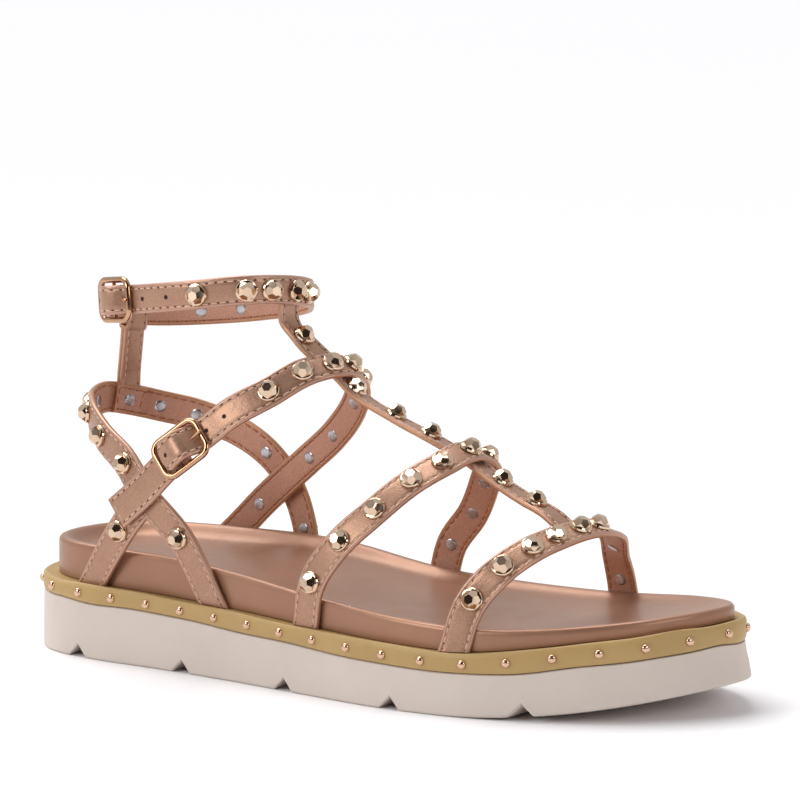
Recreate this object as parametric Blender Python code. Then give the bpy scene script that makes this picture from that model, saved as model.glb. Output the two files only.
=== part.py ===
"""Roman sandal for a right foot: studded straps on a cupped footbed, a rand and a notched platform outsole.

The toe points along +X and the inner side of the foot along +Y. The origin is on the floor under the
middle of the sole. Lengths are in metres.
"""

import math

import bpy
import bmesh
import numpy as np
from mathutils import Matrix, Vector

# Sole: plan size of the rand, the height of each layer at the heel, and the lift of the toe
RAND_LENGTH = 0.2638
RAND_WIDTH = 0.0973
OUTSOLE_HEIGHT = 0.0204
RAND_HEIGHT = 0.0052
FOOTBED_HEIGHT = 0.0124
TOE_SPRING = 0.010
SPRING_START = 0.70
TOE_FLARE = 0.0018
LEDGE_WIDTH = 0.00375
HEEL_LEDGE_EXTRA = 0.0017
CUP_DEPTH = 0.0045
RIM_WIDTH = 0.0026
ARCH_LIFT = 0.0035
EDGE_ROUNDING = 0.0009
NOTCH_DEPTH = 0.0042
NOTCH_HEEL_SIDE = 0.0045
NOTCH_TOE_SIDE = 0.0036
NOTCH_FIRST = 0.112
NOTCH_PITCH = 0.1753
NOTCH_COUNT = 5
OUTLINE_POINTS = 72

# Upper: how high and how large the ankle strap sits, and what a strap is cut from
ANKLE_RISE = 0.102
ANKLE_LENGTH = 0.082
ANKLE_WIDTH = 0.059
ANKLE_CENTRE = 0.2275
ANKLE_TURN = math.radians(-16.0)
STRAP_WIDTH = 0.0108
STRAP_THICKNESS = 0.0018
STRAP_EDGE = 0.0005
STRAP_STEP = 0.0065
TAB_WIDTH = 0.0115
ANKLE_STRAP_WIDTH = 0.0098
RISER_WIDTH = 0.0085
RISER_THICKNESS = 0.0030
TEE_WIDTH = 0.0098
HEEL_CENTRE = 0.183
GAP = 0.0003
SEAT_GAP = 0.0004
LOOP_PLAY = 0.0008

# Hardware: studs, and centre-bar buckles with a prong
STUD_RADIUS = 0.0035
STUD_HEIGHT = 0.0036
STUD_SIDES = 6
BUCKLE_LENGTH = 0.0200
BUCKLE_WIDTH = 0.0156
BUCKLE_CORNER = 0.0034
FRAME_WIRE = 0.00085
BAR_WIRE = 0.0007
PRONG_WIRE = 0.00055
EYE_WALL = 0.0007
BAR_PLAY = 0.0002
BAR_ANGLE = math.radians(253.5)
TEE_ANGLE = math.radians(10.0)

# Half widths of the rand's outline every 15 degrees of a turn from heel to toe, as shares of RAND_WIDTH
OUTLINE = (
    # outer side, inner side
    (-0.027, -0.027),
    (-0.205, 0.172),
    (-0.316, 0.303),
    (-0.364, 0.360),
    (-0.380, 0.359),
    (-0.415, 0.319),
    (-0.470, 0.325),
    (-0.515, 0.411),
    (-0.491, 0.480),
    (-0.392, 0.460),
    (-0.249, 0.353),
    (-0.076, 0.208),
    (0.079, 0.079),
)

# Layers along the sole, as shares of OUTSOLE_HEIGHT, RAND_HEIGHT, FOOTBED_HEIGHT and CUP_DEPTH
LAYERS = (
    # along, outsole, rand, footbed, cup
    (0.000, 1.000, 1.00, 1.00, 1.00),
    (0.280, 0.892, 1.08, 1.05, 1.00),
    (0.510, 0.775, 1.10, 0.80, 0.60),
    (0.737, 0.674, 1.27, 0.61, 0.45),
    (0.869, 0.730, 1.33, 0.44, 0.40),
    (1.000, 0.647, 1.35, 0.41, 0.35),
)

# Strap routes: along is a share of RAND_LENGTH, across runs from -1 at the outer seat line to 1 at the
# inner one, and rise is a share of ANKLE_RISE above the ledge
TOE_STRAP = (
    # along, across, rise
    (0.720, -1.00, 0.000),
    (0.734, -0.93, 0.147),
    (0.765, -0.85, 0.252),
    (0.785, -0.66, 0.303),
    (0.795, -0.44, 0.323),
    (0.803, -0.18, 0.331),
    (0.805, 0.07, 0.324),
    (0.794, 0.37, 0.299),
    (0.773, 0.63, 0.252),
    (0.758, 0.81, 0.202),
    (0.752, 0.95, 0.105),
    (0.753, 1.00, 0.000),
)
VAMP_STRAP = (
    # along, across, rise
    (0.489, -1.00, 0.000),
    (0.499, -0.99, 0.144),
    (0.534, -0.89, 0.283),
    (0.569, -0.70, 0.385),
    (0.599, -0.46, 0.477),
    (0.618, -0.19, 0.529),
    (0.626, 0.12, 0.555),
    (0.626, 0.35, 0.527),
    (0.612, 0.55, 0.474),
    (0.592, 0.72, 0.413),
    (0.560, 0.92, 0.296),
    (0.525, 1.02, 0.182),
    (0.511, 1.00, 0.000),
)
INSTEP_STRAP = (
    # along, across, rise
    (0.138, 1.00, 0.000),
    (0.187, 1.01, 0.124),
    (0.223, 1.02, 0.215),
    (0.267, 1.01, 0.311),
    (0.310, 1.00, 0.404),
    (0.355, 0.94, 0.497),
    (0.406, 0.74, 0.629),
    (0.430, 0.53, 0.718),
    (0.440, 0.29, 0.773),
    (0.438, 0.00, 0.790),
    (0.416, -0.28, 0.770),
    (0.388, -0.58, 0.709),
    (0.343, -0.85, 0.629),
    (0.319, -0.94, 0.574),
    (0.287, -1.06, 0.502),
)
BUCKLE_TAB = (
    # along, across, rise
    (0.189, -1.19, 0.266),
    (0.232, -1.18, 0.359),
    (0.263, -1.13, 0.442),
)
HEEL_STRAP = (
    # along, across, rise
    (0.331, -1.00, 0.000),
    (0.282, -1.07, 0.208),
    (0.225, -1.10, 0.333),
    (0.185, -0.99, 0.422),
    (0.130, -0.81, 0.485),
    (0.086, -0.55, 0.533),
    (0.056, -0.13, 0.556),
    (0.050, 0.25, 0.562),
    (0.062, 0.60, 0.545),
    (0.089, 0.83, 0.519),
    (0.130, 0.95, 0.495),
    (0.230, 1.03, 0.390),
    (0.292, 1.06, 0.153),
    (0.303, 1.00, 0.000),
)
REAR_STRAP = (
    # along, across, rise
    (0.127, -1.00, 0.000),
    (0.157, -1.04, 0.111),
    (0.189, -1.10, 0.213),
    (0.229, -1.14, 0.334),
)
TEE_STRAP = (
    # along, across, rise
    (0.790, -0.09, 0.327),
    (0.761, -0.05, 0.378),
    (0.723, 0.01, 0.416),
    (0.674, 0.07, 0.471),
    (0.626, 0.12, 0.538),
    (0.572, 0.12, 0.591),
    (0.521, 0.14, 0.636),
    (0.460, 0.12, 0.708),
    (0.438, 0.07, 0.765),
    (0.394, -0.05, 0.861),
)

# Height of the ankle strap round the leg every 30 degrees from its front tip towards the inner side
ANKLE_HEIGHTS = (1.012, 0.984, 0.940, 0.900, 0.868, 0.854, 0.863, 0.899, 0.939, 0.966, 0.994, 1.016)

# Studs along each strap, as shares of its own length from its first point
STUD_ROWS = {
    "toe": (0.134, 0.239, 0.325, 0.402, 0.488, 0.560, 0.784, 0.911),
    "vamp": (0.091, 0.194, 0.285, 0.375, 0.451, 0.530, 0.599, 0.702, 0.796, 0.888),
    "instep": (0.228, 0.293, 0.346, 0.394, 0.453, 0.518, 0.620, 0.697, 0.845),
    "heel": (0.113, 0.263, 0.345, 0.424, 0.483, 0.554, 0.609, 0.667, 0.797, 0.930),
    "rear": (0.600,),
    "tee": (0.127, 0.232, 0.445, 0.548, 0.671, 0.845),
    "ankle": (0.200, 0.270, 0.306, 0.347, 0.380, 0.640, 0.705),
}


def hermite(stations, values, where):
    """Smooth curve through a table: cubic between stations, with slopes weighted by the nearer step."""
    stations = np.asarray(stations, float)
    values = np.asarray(values, float)
    steps = np.diff(stations)
    slopes = np.diff(values) / steps
    inner = (slopes[:-1] * steps[1:] + slopes[1:] * steps[:-1]) / (steps[1:] + steps[:-1])
    tangents = np.concatenate([slopes[:1], inner, slopes[-1:]])
    where = np.clip(where, stations[0], stations[-1])
    low = np.clip(np.searchsorted(stations, where) - 1, 0, len(stations) - 2)
    share = (where - stations[low]) / steps[low]
    start = (2 * share**3 - 3 * share**2 + 1) * values[low]
    end = (3 * share**2 - 2 * share**3) * values[low + 1]
    leaving = (share**3 - 2 * share**2 + share) * steps[low] * tangents[low]
    arriving = (share**3 - share**2) * steps[low] * tangents[low + 1]
    return start + end + leaving + arriving


def around(values, where):
    """Smooth closed curve through evenly spaced values; where counts in steps from the first value."""
    values = np.asarray(values, float)
    low = np.floor(where).astype(int)
    share = where - low
    before, first, second, after = [values[(low + k) % len(values)] for k in (-1, 0, 1, 2)]
    linear = second - before
    square = 2 * before - 5 * first + 4 * second - after
    cube = 3 * first - before - 3 * second + after
    return 0.5 * (2 * first + linear * share + square * share**2 + cube * share**3)


def outline_across(turn):
    """Distance of the rand's edge from the X axis at a turn in degrees: 0 heel, 180 toe, then back inside."""
    outer = [row[0] for row in OUTLINE]
    inner = [row[1] for row in OUTLINE]
    return RAND_WIDTH * around(outer + inner[-2:0:-1], np.asarray(turn, float) / 15.0)


def outline(offset=0.0):
    """The rand's plan outline as points, moved outwards by offset, one value or one for each point."""
    turn = np.arange(OUTLINE_POINTS) * 360.0 / OUTLINE_POINTS
    plan = np.stack([RAND_LENGTH * (1 - np.cos(np.radians(turn))) / 2, outline_across(turn)], axis=1)
    run = np.roll(plan, -1, axis=0) - np.roll(plan, 1, axis=0)
    normal = np.stack([run[:, 1], -run[:, 0]], axis=1)
    normal /= np.linalg.norm(normal, axis=1)[:, None]
    return plan + normal * np.reshape(offset, (-1, 1))


def layer(column, x):
    along = [row[0] for row in LAYERS]
    return hermite(along, [row[column] for row in LAYERS], np.asarray(x) / RAND_LENGTH)


def floor_height(x):
    """Underside of the outsole: flat to the ball, then curving up to the toe."""
    beyond = np.clip((np.asarray(x) / RAND_LENGTH - SPRING_START) / (1 - SPRING_START), 0, None)
    return TOE_SPRING * beyond**2


def outsole_top(x):
    return floor_height(x) + OUTSOLE_HEIGHT * layer(1, x)


def ledge_height(x):
    return outsole_top(x) + RAND_HEIGHT * layer(2, x)


def rim_height(x, y):
    """Top of the footbed's rim, with the inner side lifted under the arch."""
    along = np.asarray(x) / RAND_LENGTH
    arch = np.exp(-(((along - 0.39) / 0.13) ** 2)) * (np.asarray(y) > 0)
    return ledge_height(x) + FOOTBED_HEIGHT * layer(3, x) + ARCH_LIFT * arch


def ledge_width(x):
    """How far the footbed's wall stands in from the rand's edge; a little more at the heel."""
    return LEDGE_WIDTH + HEEL_LEDGE_EXTRA * (1 - np.asarray(x) / RAND_LENGTH)


def seat_lines(x):
    """Where the middle of a strap stands on the ledge, on the outer and on the inner side."""
    turn = np.degrees(np.arccos(1 - 2 * np.clip(np.asarray(x) / RAND_LENGTH, 0, 1)))
    inset = ledge_width(x) - SEAT_GAP - STRAP_THICKNESS / 2
    return outline_across(turn) + inset, outline_across(-turn % 360) - inset


def make_material(name, colour, roughness, metallic=0.0):
    made = bpy.data.materials.new(name)
    made.use_nodes = True
    shader = made.node_tree.nodes["Principled BSDF"]
    shader.inputs["Base Color"].default_value = (*colour, 1.0)
    shader.inputs["Roughness"].default_value = roughness
    shader.inputs["Metallic"].default_value = metallic
    made.diffuse_color = (*colour, 1.0)
    return made


def mesh_object(name, points, faces, collection, finish=None):
    mesh = bpy.data.meshes.new(name)
    mesh.from_pydata([tuple(point) for point in points], [], faces)
    shape = bmesh.new()
    shape.from_mesh(mesh)
    bmesh.ops.recalc_face_normals(shape, faces=shape.faces)
    shape.to_mesh(mesh)
    shape.free()
    made = bpy.data.objects.new(name, mesh)
    collection.objects.link(made)
    if finish:
        mesh.materials.append(finish)
    return made


def plate(name, rings, collection, finish=None):
    """Closed layer of the sole from rings of (plan, heights), its ends bridged from side to side."""
    count = OUTLINE_POINTS
    points = np.concatenate([np.column_stack([plan, heights]) for plan, heights in rings])
    faces = []
    for ring in range(len(rings) - 1):
        for i in range(count):
            j = (i + 1) % count
            faces.append((ring * count + i, ring * count + j, (ring + 1) * count + j, (ring + 1) * count + i))
    for start in (0, (len(rings) - 1) * count):
        faces.append((start, start + 1, start + count - 1))
        for i in range(1, count // 2 - 1):
            faces.append((start + i, start + i + 1, start + count - i - 1, start + count - i))
        middle = start + count // 2
        faces.append((middle - 1, middle, middle + 1))
    return mesh_object(name, points, faces, collection, finish)


def join(target, other, operation):
    """Applies one exact Boolean to target and leaves the other object out of the scene."""
    step = target.modifiers.new(operation.lower(), "BOOLEAN")
    step.operation = operation
    step.solver = "EXACT"
    step.object = other
    graph = bpy.context.evaluated_depsgraph_get()
    result = bpy.data.meshes.new_from_object(target.evaluated_get(graph))
    target.modifiers.remove(step)
    shape = bmesh.new()
    shape.from_mesh(result)
    bmesh.ops.triangulate(shape, faces=shape.faces)
    shape.to_mesh(result)
    shape.free()
    target.data = result
    if operation == "UNION":
        bpy.data.objects.remove(other)


def hide(cutter):
    cutter.hide_render = True
    cutter.display_type = "WIRE"
    return cutter


def build_outsole(collection, cutters, finish):
    """Moulded platform with a flared toe, cut across its underside by V-shaped notches."""
    base = outline()
    along = np.clip(base[:, 0] / RAND_LENGTH, 0, 1)
    foot = outline(TOE_FLARE * along)
    tread = outline(TOE_FLARE * along - EDGE_ROUNDING)
    top = outline(-GAP)
    rings = (
        (tread, floor_height(tread[:, 0])),
        (foot, floor_height(foot[:, 0]) + EDGE_ROUNDING),
        (outline(TOE_FLARE * along / 3), outsole_top(base[:, 0]) - OUTSOLE_HEIGHT * 0.4),
        (top, outsole_top(top[:, 0]) - GAP),
    )
    outsole = plate("outsole", rings, collection, finish)
    for index in range(NOTCH_COUNT):
        notch = notch_cutter(index, cutters)
        join(outsole, notch, "DIFFERENCE")
    return outsole


def notch_cutter(index, cutters):
    """Prism across the sole whose ridge is the bottom of one notch."""
    x = RAND_LENGTH * (NOTCH_FIRST + NOTCH_PITCH * index)
    below = 0.5
    height = float(floor_height(x)) + NOTCH_DEPTH
    reach = RAND_WIDTH
    drop = NOTCH_DEPTH * (1 + below)
    profile = (
        (x, height),
        (x - NOTCH_HEEL_SIDE * (1 + below), height - drop),
        (x + NOTCH_TOE_SIDE * (1 + below), height - drop),
    )
    points = [(px, side * reach, pz) for side in (-1, 1) for px, pz in profile]
    faces = [(0, 1, 2), (3, 5, 4), (0, 3, 4, 1), (1, 4, 5, 2), (2, 5, 3, 0)]
    return hide(mesh_object(f"notch_cutter_{index + 1}", points, faces, cutters))


def build_rand(collection, finish):
    """Wrapped welt between outsole and footbed, slightly rounded at both edges."""
    side = outline()
    low = outline(-EDGE_ROUNDING / 2)
    high = outline(-EDGE_ROUNDING)
    rings = (
        (low, outsole_top(low[:, 0])),
        (side, outsole_top(side[:, 0]) + EDGE_ROUNDING),
        (side, ledge_height(side[:, 0]) - EDGE_ROUNDING),
        (high, ledge_height(high[:, 0])),
    )
    return plate("rand", rings, collection, finish)


def build_footbed(collection, finish):
    """Wrapped insole with an upright wall, a rounded rim and a cupped top."""
    inset = -ledge_width(outline()[:, 0])
    wall = outline(inset)
    shoulder = outline(inset - EDGE_ROUNDING)
    crest = outline(inset - RIM_WIDTH)
    slope = outline(inset - 2.4 * RIM_WIDTH)
    cup = outline(inset - 5.0 * RIM_WIDTH)
    depth = CUP_DEPTH
    rings = (
        (wall, ledge_height(wall[:, 0]) + GAP),
        (wall, rim_height(*wall.T) - 1.6 * EDGE_ROUNDING),
        (shoulder, rim_height(*shoulder.T) - 0.4 * EDGE_ROUNDING),
        (crest, rim_height(*crest.T)),
        (slope, rim_height(*slope.T) - 0.45 * depth * layer(4, slope[:, 0])),
        (cup, rim_height(*cup.T) - depth * layer(4, cup[:, 0])),
    )
    return plate("footbed", rings, collection, finish)


def route(rows):
    """World points of a strap table."""
    along, across, rise = np.array(rows).T
    x = along * RAND_LENGTH
    outer, inner = seat_lines(x)
    y = (outer + inner) / 2 + across * (inner - outer) / 2
    return np.stack([x, y, ledge_height(x) + rise * ANKLE_RISE], axis=1)


def smooth(points, step=STRAP_STEP):
    """Even steps along a smooth curve through the points."""
    reach = np.concatenate([[0], np.cumsum(np.linalg.norm(np.diff(points, axis=0), axis=1))])
    fine = np.linspace(0, reach[-1], 400)
    curve = np.stack([hermite(reach, points[:, k], fine) for k in range(3)], axis=1)
    return resample(curve, step)


def resample(curve, step):
    run = np.concatenate([[0], np.cumsum(np.linalg.norm(np.diff(curve, axis=0), axis=1))])
    count = max(2, int(round(run[-1] / step)) + 1)
    even = np.linspace(0, run[-1], count)
    return np.stack([np.interp(even, run, curve[:, k]) for k in range(3)], axis=1)


def foot_field(points):
    """Grows outwards from the middle of the foot; its level surfaces are arches over the sole."""
    x, y, z = points.T
    outer, inner = seat_lines(x)
    side = (y - (outer + inner) / 2) / ((inner - outer) / 2)
    crown = hermite((0.31, 0.44, 0.63, 0.81), (1.05, 0.76, 0.55, 0.33), x / RAND_LENGTH)
    lift = np.clip(z - ledge_height(x), 0, None) / (crown * ANKLE_RISE)
    return np.abs(side) ** 2.2 + lift**2.2


def heel_field(points):
    """Grows outwards from the leg; its level surfaces are upright walls round the heel."""
    x, y, _ = points.T
    centre = HEEL_CENTRE * RAND_LENGTH
    outer, inner = seat_lines(np.maximum(x, centre))
    side = (y - (outer + inner) / 2) / ((inner - outer) / 2)
    behind = np.minimum(x - centre, 0) / centre
    return side**2 + behind**2


def outward(points, field):
    """Unit direction away from the foot, turning to the sole's own outline near the ledge."""
    step = 1e-4
    slope = np.stack([field(points + step * axis) - field(points - step * axis) for axis in np.eye(3)], axis=1)
    slope /= np.linalg.norm(slope, axis=1)[:, None]
    x = points[:, 0]
    side = (points[:, 1] > 0).astype(int)
    ahead = np.choose(side, seat_lines(x + step))
    behind = np.choose(side, seat_lines(x - step))
    sign = 2 * side - 1
    plan = np.stack([-sign * (ahead - behind) / (2 * step), sign * np.ones_like(x), 0 * x], axis=1)
    plan /= np.linalg.norm(plan, axis=1)[:, None]
    above = (points[:, 2] - ledge_height(x)) / FOOTBED_HEIGHT
    share = np.clip((above - 1.0) / 1.2, 0, 1)[:, None]
    return plan * (1 - share) + slope * share


def frames(points, away, closed=False):
    """Tangent, width and outward directions at each point of a strap."""
    if closed:
        tangent = np.roll(points, -1, axis=0) - np.roll(points, 1, axis=0)
    else:
        tangent = np.gradient(points, axis=0)
    tangent /= np.linalg.norm(tangent, axis=1)[:, None]
    normal = away - (away * tangent).sum(axis=1)[:, None] * tangent
    normal /= np.linalg.norm(normal, axis=1)[:, None]
    return tangent, np.cross(tangent, normal), normal


def ribbon(name, points, away, collection, finish=None, width=STRAP_WIDTH, thickness=STRAP_THICKNESS,
           closed=False):
    """Strap of flat section with its two outer edges eased, carried along the points."""
    _, sideways, normal = frames(points, away, closed)
    half, face = width / 2, thickness / 2
    section = (
        (-half, -face),
        (half, -face),
        (half, face - STRAP_EDGE),
        (half - STRAP_EDGE, face),
        (-half + STRAP_EDGE, face),
        (-half, face - STRAP_EDGE),
    )
    count, sides = len(points), len(section)
    corners = np.stack([points + across * sideways + up * normal for across, up in section], axis=1)
    faces = []
    for i in range(count if closed else count - 1):
        j = (i + 1) % count
        for k in range(sides):
            m = (k + 1) % sides
            faces.append((i * sides + k, i * sides + m, j * sides + m, j * sides + k))
    if not closed:
        faces.append(tuple(range(sides)))
        faces.append(tuple(range((count - 1) * sides, count * sides)))
    return mesh_object(name, corners.reshape(-1, 3), faces, collection, finish)


def lengthen_base(points, length):
    """Carries a strap straight on past its first point, so that the cut along the ledge trims it."""
    back = points[0] - points[1]
    return np.concatenate([[points[0] + back / np.linalg.norm(back) * length], points])


def ankle_point(angle):
    """Middle of the ankle strap at an angle round the leg: 0 at its front tip, growing inwards."""
    angle = np.asarray(angle, float)
    forward = ANKLE_LENGTH / 2 * np.cos(angle)
    sideways = ANKLE_WIDTH / 2 * np.sin(angle)
    centre = ANKLE_CENTRE * RAND_LENGTH
    x = centre + forward * math.cos(ANKLE_TURN) - sideways * math.sin(ANKLE_TURN)
    y = forward * math.sin(ANKLE_TURN) + sideways * math.cos(ANKLE_TURN)
    height = around(ANKLE_HEIGHTS, np.degrees(angle) / 30.0)
    base = float(ledge_height(centre))
    return np.stack([x, y, base + height * ANKLE_RISE], axis=-1)


def ankle_away(angle):
    angle = np.asarray(angle, float)
    forward = np.cos(angle) / ANKLE_LENGTH
    sideways = np.sin(angle) / ANKLE_WIDTH
    x = forward * math.cos(ANKLE_TURN) - sideways * math.sin(ANKLE_TURN)
    y = forward * math.sin(ANKLE_TURN) + sideways * math.cos(ANKLE_TURN)
    away = np.stack([x, y, 0 * x], axis=-1)
    return away / np.linalg.norm(away, axis=-1, keepdims=True)


# Heights above a strap's middle line at a buckle, and how far the strap's tip runs past the bar
FRONT_BAR_HEIGHT = STRAP_THICKNESS / 2 + GAP + FRAME_WIRE
BAR_HEIGHT = FRONT_BAR_HEIGHT + 0.00015
RING_RADIUS = BAR_WIRE + BAR_PLAY + PRONG_WIRE
HUMP_HEIGHT = BAR_HEIGHT + RING_RADIUS + PRONG_WIRE + 1.8 * GAP + STRAP_THICKNESS / 2
BAR_SPACING = BUCKLE_LENGTH / 2 - FRAME_WIRE
HUMP_REACH = BAR_SPACING - FRAME_WIRE
TIP_REACH = BAR_SPACING - 2.4 * FRAME_WIRE
FOLD_REACH = 0.0006


def hump(distance):
    """Lift of a strap that climbs over the bar, by distance from the bar, towards the front positive."""
    ahead = np.clip(distance / HUMP_REACH, 0, 1)
    behind = np.clip(-distance / TIP_REACH, 0, 1)
    return HUMP_HEIGHT * (0.5 + 0.5 * np.cos(np.pi * ahead)) * (1 - 0.2 * behind**2)


class Seat:
    """Place of a buckle on a strap: the bar's middle, with forward, sideways and outward directions."""

    def __init__(self, base, ahead, away):
        forward = ahead - base
        normal = away - away.dot(forward) / forward.dot(forward) * forward
        normal /= np.linalg.norm(normal)
        bar = base + normal * BAR_HEIGHT
        front = ahead + normal * FRONT_BAR_HEIGHT
        self.bar = bar
        self.forward = (front - bar) / np.linalg.norm(front - bar)
        self.sideways = np.cross(self.forward, normal)
        self.sideways /= np.linalg.norm(self.sideways)
        self.normal = np.cross(self.sideways, self.forward)

    def point(self, forward, sideways=0.0, up=0.0):
        return self.bar + forward * self.forward + sideways * self.sideways + up * self.normal


def wire(name, points, radius, collection, finish=None, closed=False, sides=1):
    """Bent wire as a poly curve with a round bevel, made a mesh with its caps welded."""
    data = bpy.data.curves.new(name, "CURVE")
    data.dimensions = "3D"
    data.bevel_depth = radius
    data.bevel_resolution = sides
    data.use_fill_caps = True
    line = data.splines.new("POLY")
    line.points.add(len(points) - 1)
    for knot, point in zip(line.points, points):
        knot.co = (*point, 1.0)
    line.use_cyclic_u = closed
    drawn = bpy.data.objects.new(name, data)
    collection.objects.link(drawn)
    graph = bpy.context.evaluated_depsgraph_get()
    mesh = bpy.data.meshes.new_from_object(drawn.evaluated_get(graph))
    bpy.data.objects.remove(drawn)
    shape = bmesh.new()
    shape.from_mesh(mesh)
    bmesh.ops.remove_doubles(shape, verts=shape.verts, dist=1e-6)
    bmesh.ops.recalc_face_normals(shape, faces=shape.faces)
    shape.to_mesh(mesh)
    shape.free()
    made = bpy.data.objects.new(name, mesh)
    collection.objects.link(made)
    if finish:
        mesh.materials.clear()
        mesh.materials.append(finish)
    return made


def frame_points(seat):
    """Rounded rectangle of the buckle's wire, corner by corner."""
    half_long = BUCKLE_LENGTH / 2 - FRAME_WIRE
    half_wide = BUCKLE_WIDTH / 2 - FRAME_WIRE
    corner = BUCKLE_CORNER
    points = []
    for index, (fx, fy) in enumerate(((1, 1), (-1, 1), (-1, -1), (1, -1))):
        for share in (0.0, 1 / 3, 2 / 3, 1.0):
            angle = math.radians(90 * (index + share))
            forward = fx * (half_long - corner) + corner * math.cos(angle)
            sideways = fy * (half_wide - corner) + corner * math.sin(angle)
            points.append(seat.point(forward, sideways))
    return points


def build_buckle(name, seat, collection, finish):
    """Cast frame with a bar across its middle."""
    frame = wire(name, frame_points(seat), FRAME_WIRE, collection, finish, closed=True)
    half = BUCKLE_WIDTH / 2 - FRAME_WIRE
    bar = wire(name + "_bar", [seat.point(0, -half), seat.point(0, half)], BAR_WIRE, collection, finish)
    join(frame, bar, "UNION")
    return frame


def prong_rod(seat, grown=0.0):
    """Knots of the prong's rod: from its ring, out through the strap, to lie over the front bar."""
    over = FRAME_WIRE + GAP + PRONG_WIRE
    return [
        seat.point(RING_RADIUS, 0, 0),
        seat.point(BAR_SPACING * 0.55, 0, over * 0.45),
        seat.point(BAR_SPACING * 0.85, 0, over * 0.96),
        seat.point(BAR_SPACING + FRAME_WIRE + grown, 0, over * 1.02),
    ]


def build_prong(name, seat, collection, finish):
    """A ring round the bar with the rod welded to it."""
    ring = []
    for step in range(10):
        angle = 2 * math.pi * step / 10
        ring.append(seat.point(RING_RADIUS * math.cos(angle), 0, RING_RADIUS * math.sin(angle)))
    body = wire(name, ring, PRONG_WIRE, collection, finish, closed=True)
    rod = wire(name + "_rod", prong_rod(seat), PRONG_WIRE, collection, finish)
    join(body, rod, "UNION")
    return body


def cut_for_hardware(strap, name, seat, cutters):
    """Opens the bar's bore through the folded end, and room for the prong's ring and its rod."""
    wide = PRONG_WIRE + GAP
    disc_ends = [seat.point(0, -wide), seat.point(0, wide)]
    disc = wire(name + "_slot", disc_ends, RING_RADIUS + PRONG_WIRE + GAP, cutters, sides=2)
    join(strap, hide(disc), "DIFFERENCE")
    rod = hide(wire(name + "_hole", prong_rod(seat, GAP), PRONG_WIRE + GAP, cutters))
    join(strap, rod, "DIFFERENCE")
    half = BUCKLE_WIDTH / 2
    bore = wire(name + "_bore", [seat.point(0, -half), seat.point(0, half)], BAR_WIRE + BAR_PLAY, cutters)
    join(strap, hide(bore), "DIFFERENCE")
    return rod


def fold_round_bar(name, seat, width, collection):
    """The strap's folded end: a sleeve round the bar."""
    half = width / 2 - GAP
    radius = BAR_WIRE + BAR_PLAY + EYE_WALL
    return wire(name, [seat.point(0, -half), seat.point(0, half)], radius, collection)


def distance_along(points):
    return np.concatenate([[0], np.cumsum(np.linalg.norm(np.diff(points, axis=0), axis=1))])


def point_at(points, run, where):
    return np.array([np.interp(where, run, points[:, k]) for k in range(3)])


def over_the_bar(points, away, ahead, seat, foot):
    """Lifts a strap, given from its bar onwards, over the bar, and adds the straight tip behind it."""
    tip = np.linspace(-TIP_REACH, 0, 5)[:-1]
    start = foot + tip[:, None] * seat.forward + hump(tip)[:, None] * seat.normal
    lifted = points + hump(ahead)[:, None] * seat.normal
    settled = np.clip(ahead / HUMP_REACH, 0, 1)[:, None]
    turned = away * settled + seat.normal * (1 - settled)
    return np.concatenate([start, lifted]), np.concatenate([np.tile(seat.normal, (4, 1)), turned])


def instep_layout():
    """Centre line of the instep strap from its tip to its base, its outward directions and its buckle."""
    plain = smooth(route(INSTEP_STRAP)[::-1], STRAP_STEP / 3)
    run = distance_along(plain)
    away = outward(plain, foot_field)
    seat = Seat(plain[0], point_at(plain, run, BAR_SPACING), away[0])
    keep = (run < 1.3 * HUMP_REACH) | (np.arange(len(plain)) % 3 == 0)
    keep[-1] = True
    points, directions = over_the_bar(plain[keep], away[keep], run[keep], seat, plain[0])
    return points, directions, seat, plain[0]


def ankle_layout():
    """Open loop of the ankle strap from its tip, round the leg, to its folded end at the bar."""
    angle = np.linspace(BAR_ANGLE, BAR_ANGLE + 2.1 * math.pi, 757)
    lap = distance_along(ankle_point(angle))
    length = float(np.interp(BAR_ANGLE + 2 * math.pi, angle, lap))
    near = np.linspace(0, 1.3 * HUMP_REACH, 7)
    rest = np.linspace(1.3 * HUMP_REACH, length + FOLD_REACH, int(length / STRAP_STEP * 1.3))
    run = np.concatenate([near, rest[1:]])
    angles = np.interp(run, lap, angle)
    ahead = float(np.interp(BAR_SPACING, lap, angle))
    foot = ankle_point(BAR_ANGLE)
    seat = Seat(foot, ankle_point(ahead), ankle_away(BAR_ANGLE))
    points, directions = over_the_bar(ankle_point(angles), ankle_away(angles), run, seat, foot)
    return points, directions, seat


def sole_block(cutters):
    """Everything below the ledge and inside the footbed's wall, which straps stand clear of."""
    wide = outline(STRAP_WIDTH)
    rings = (
        (wide, ledge_height(wide[:, 0]) - 8 * RAND_HEIGHT),
        (wide, ledge_height(wide[:, 0]) + GAP),
    )
    return hide(plate("ledge_cutter", rings, cutters))


def footbed_block(cutters):
    inside = outline(GAP - ledge_width(outline()[:, 0]))
    rings = (
        (inside, ledge_height(inside[:, 0]) - RAND_HEIGHT),
        (inside, rim_height(*inside.T) + GAP),
    )
    return hide(plate("footbed_cutter", rings, cutters))


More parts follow.
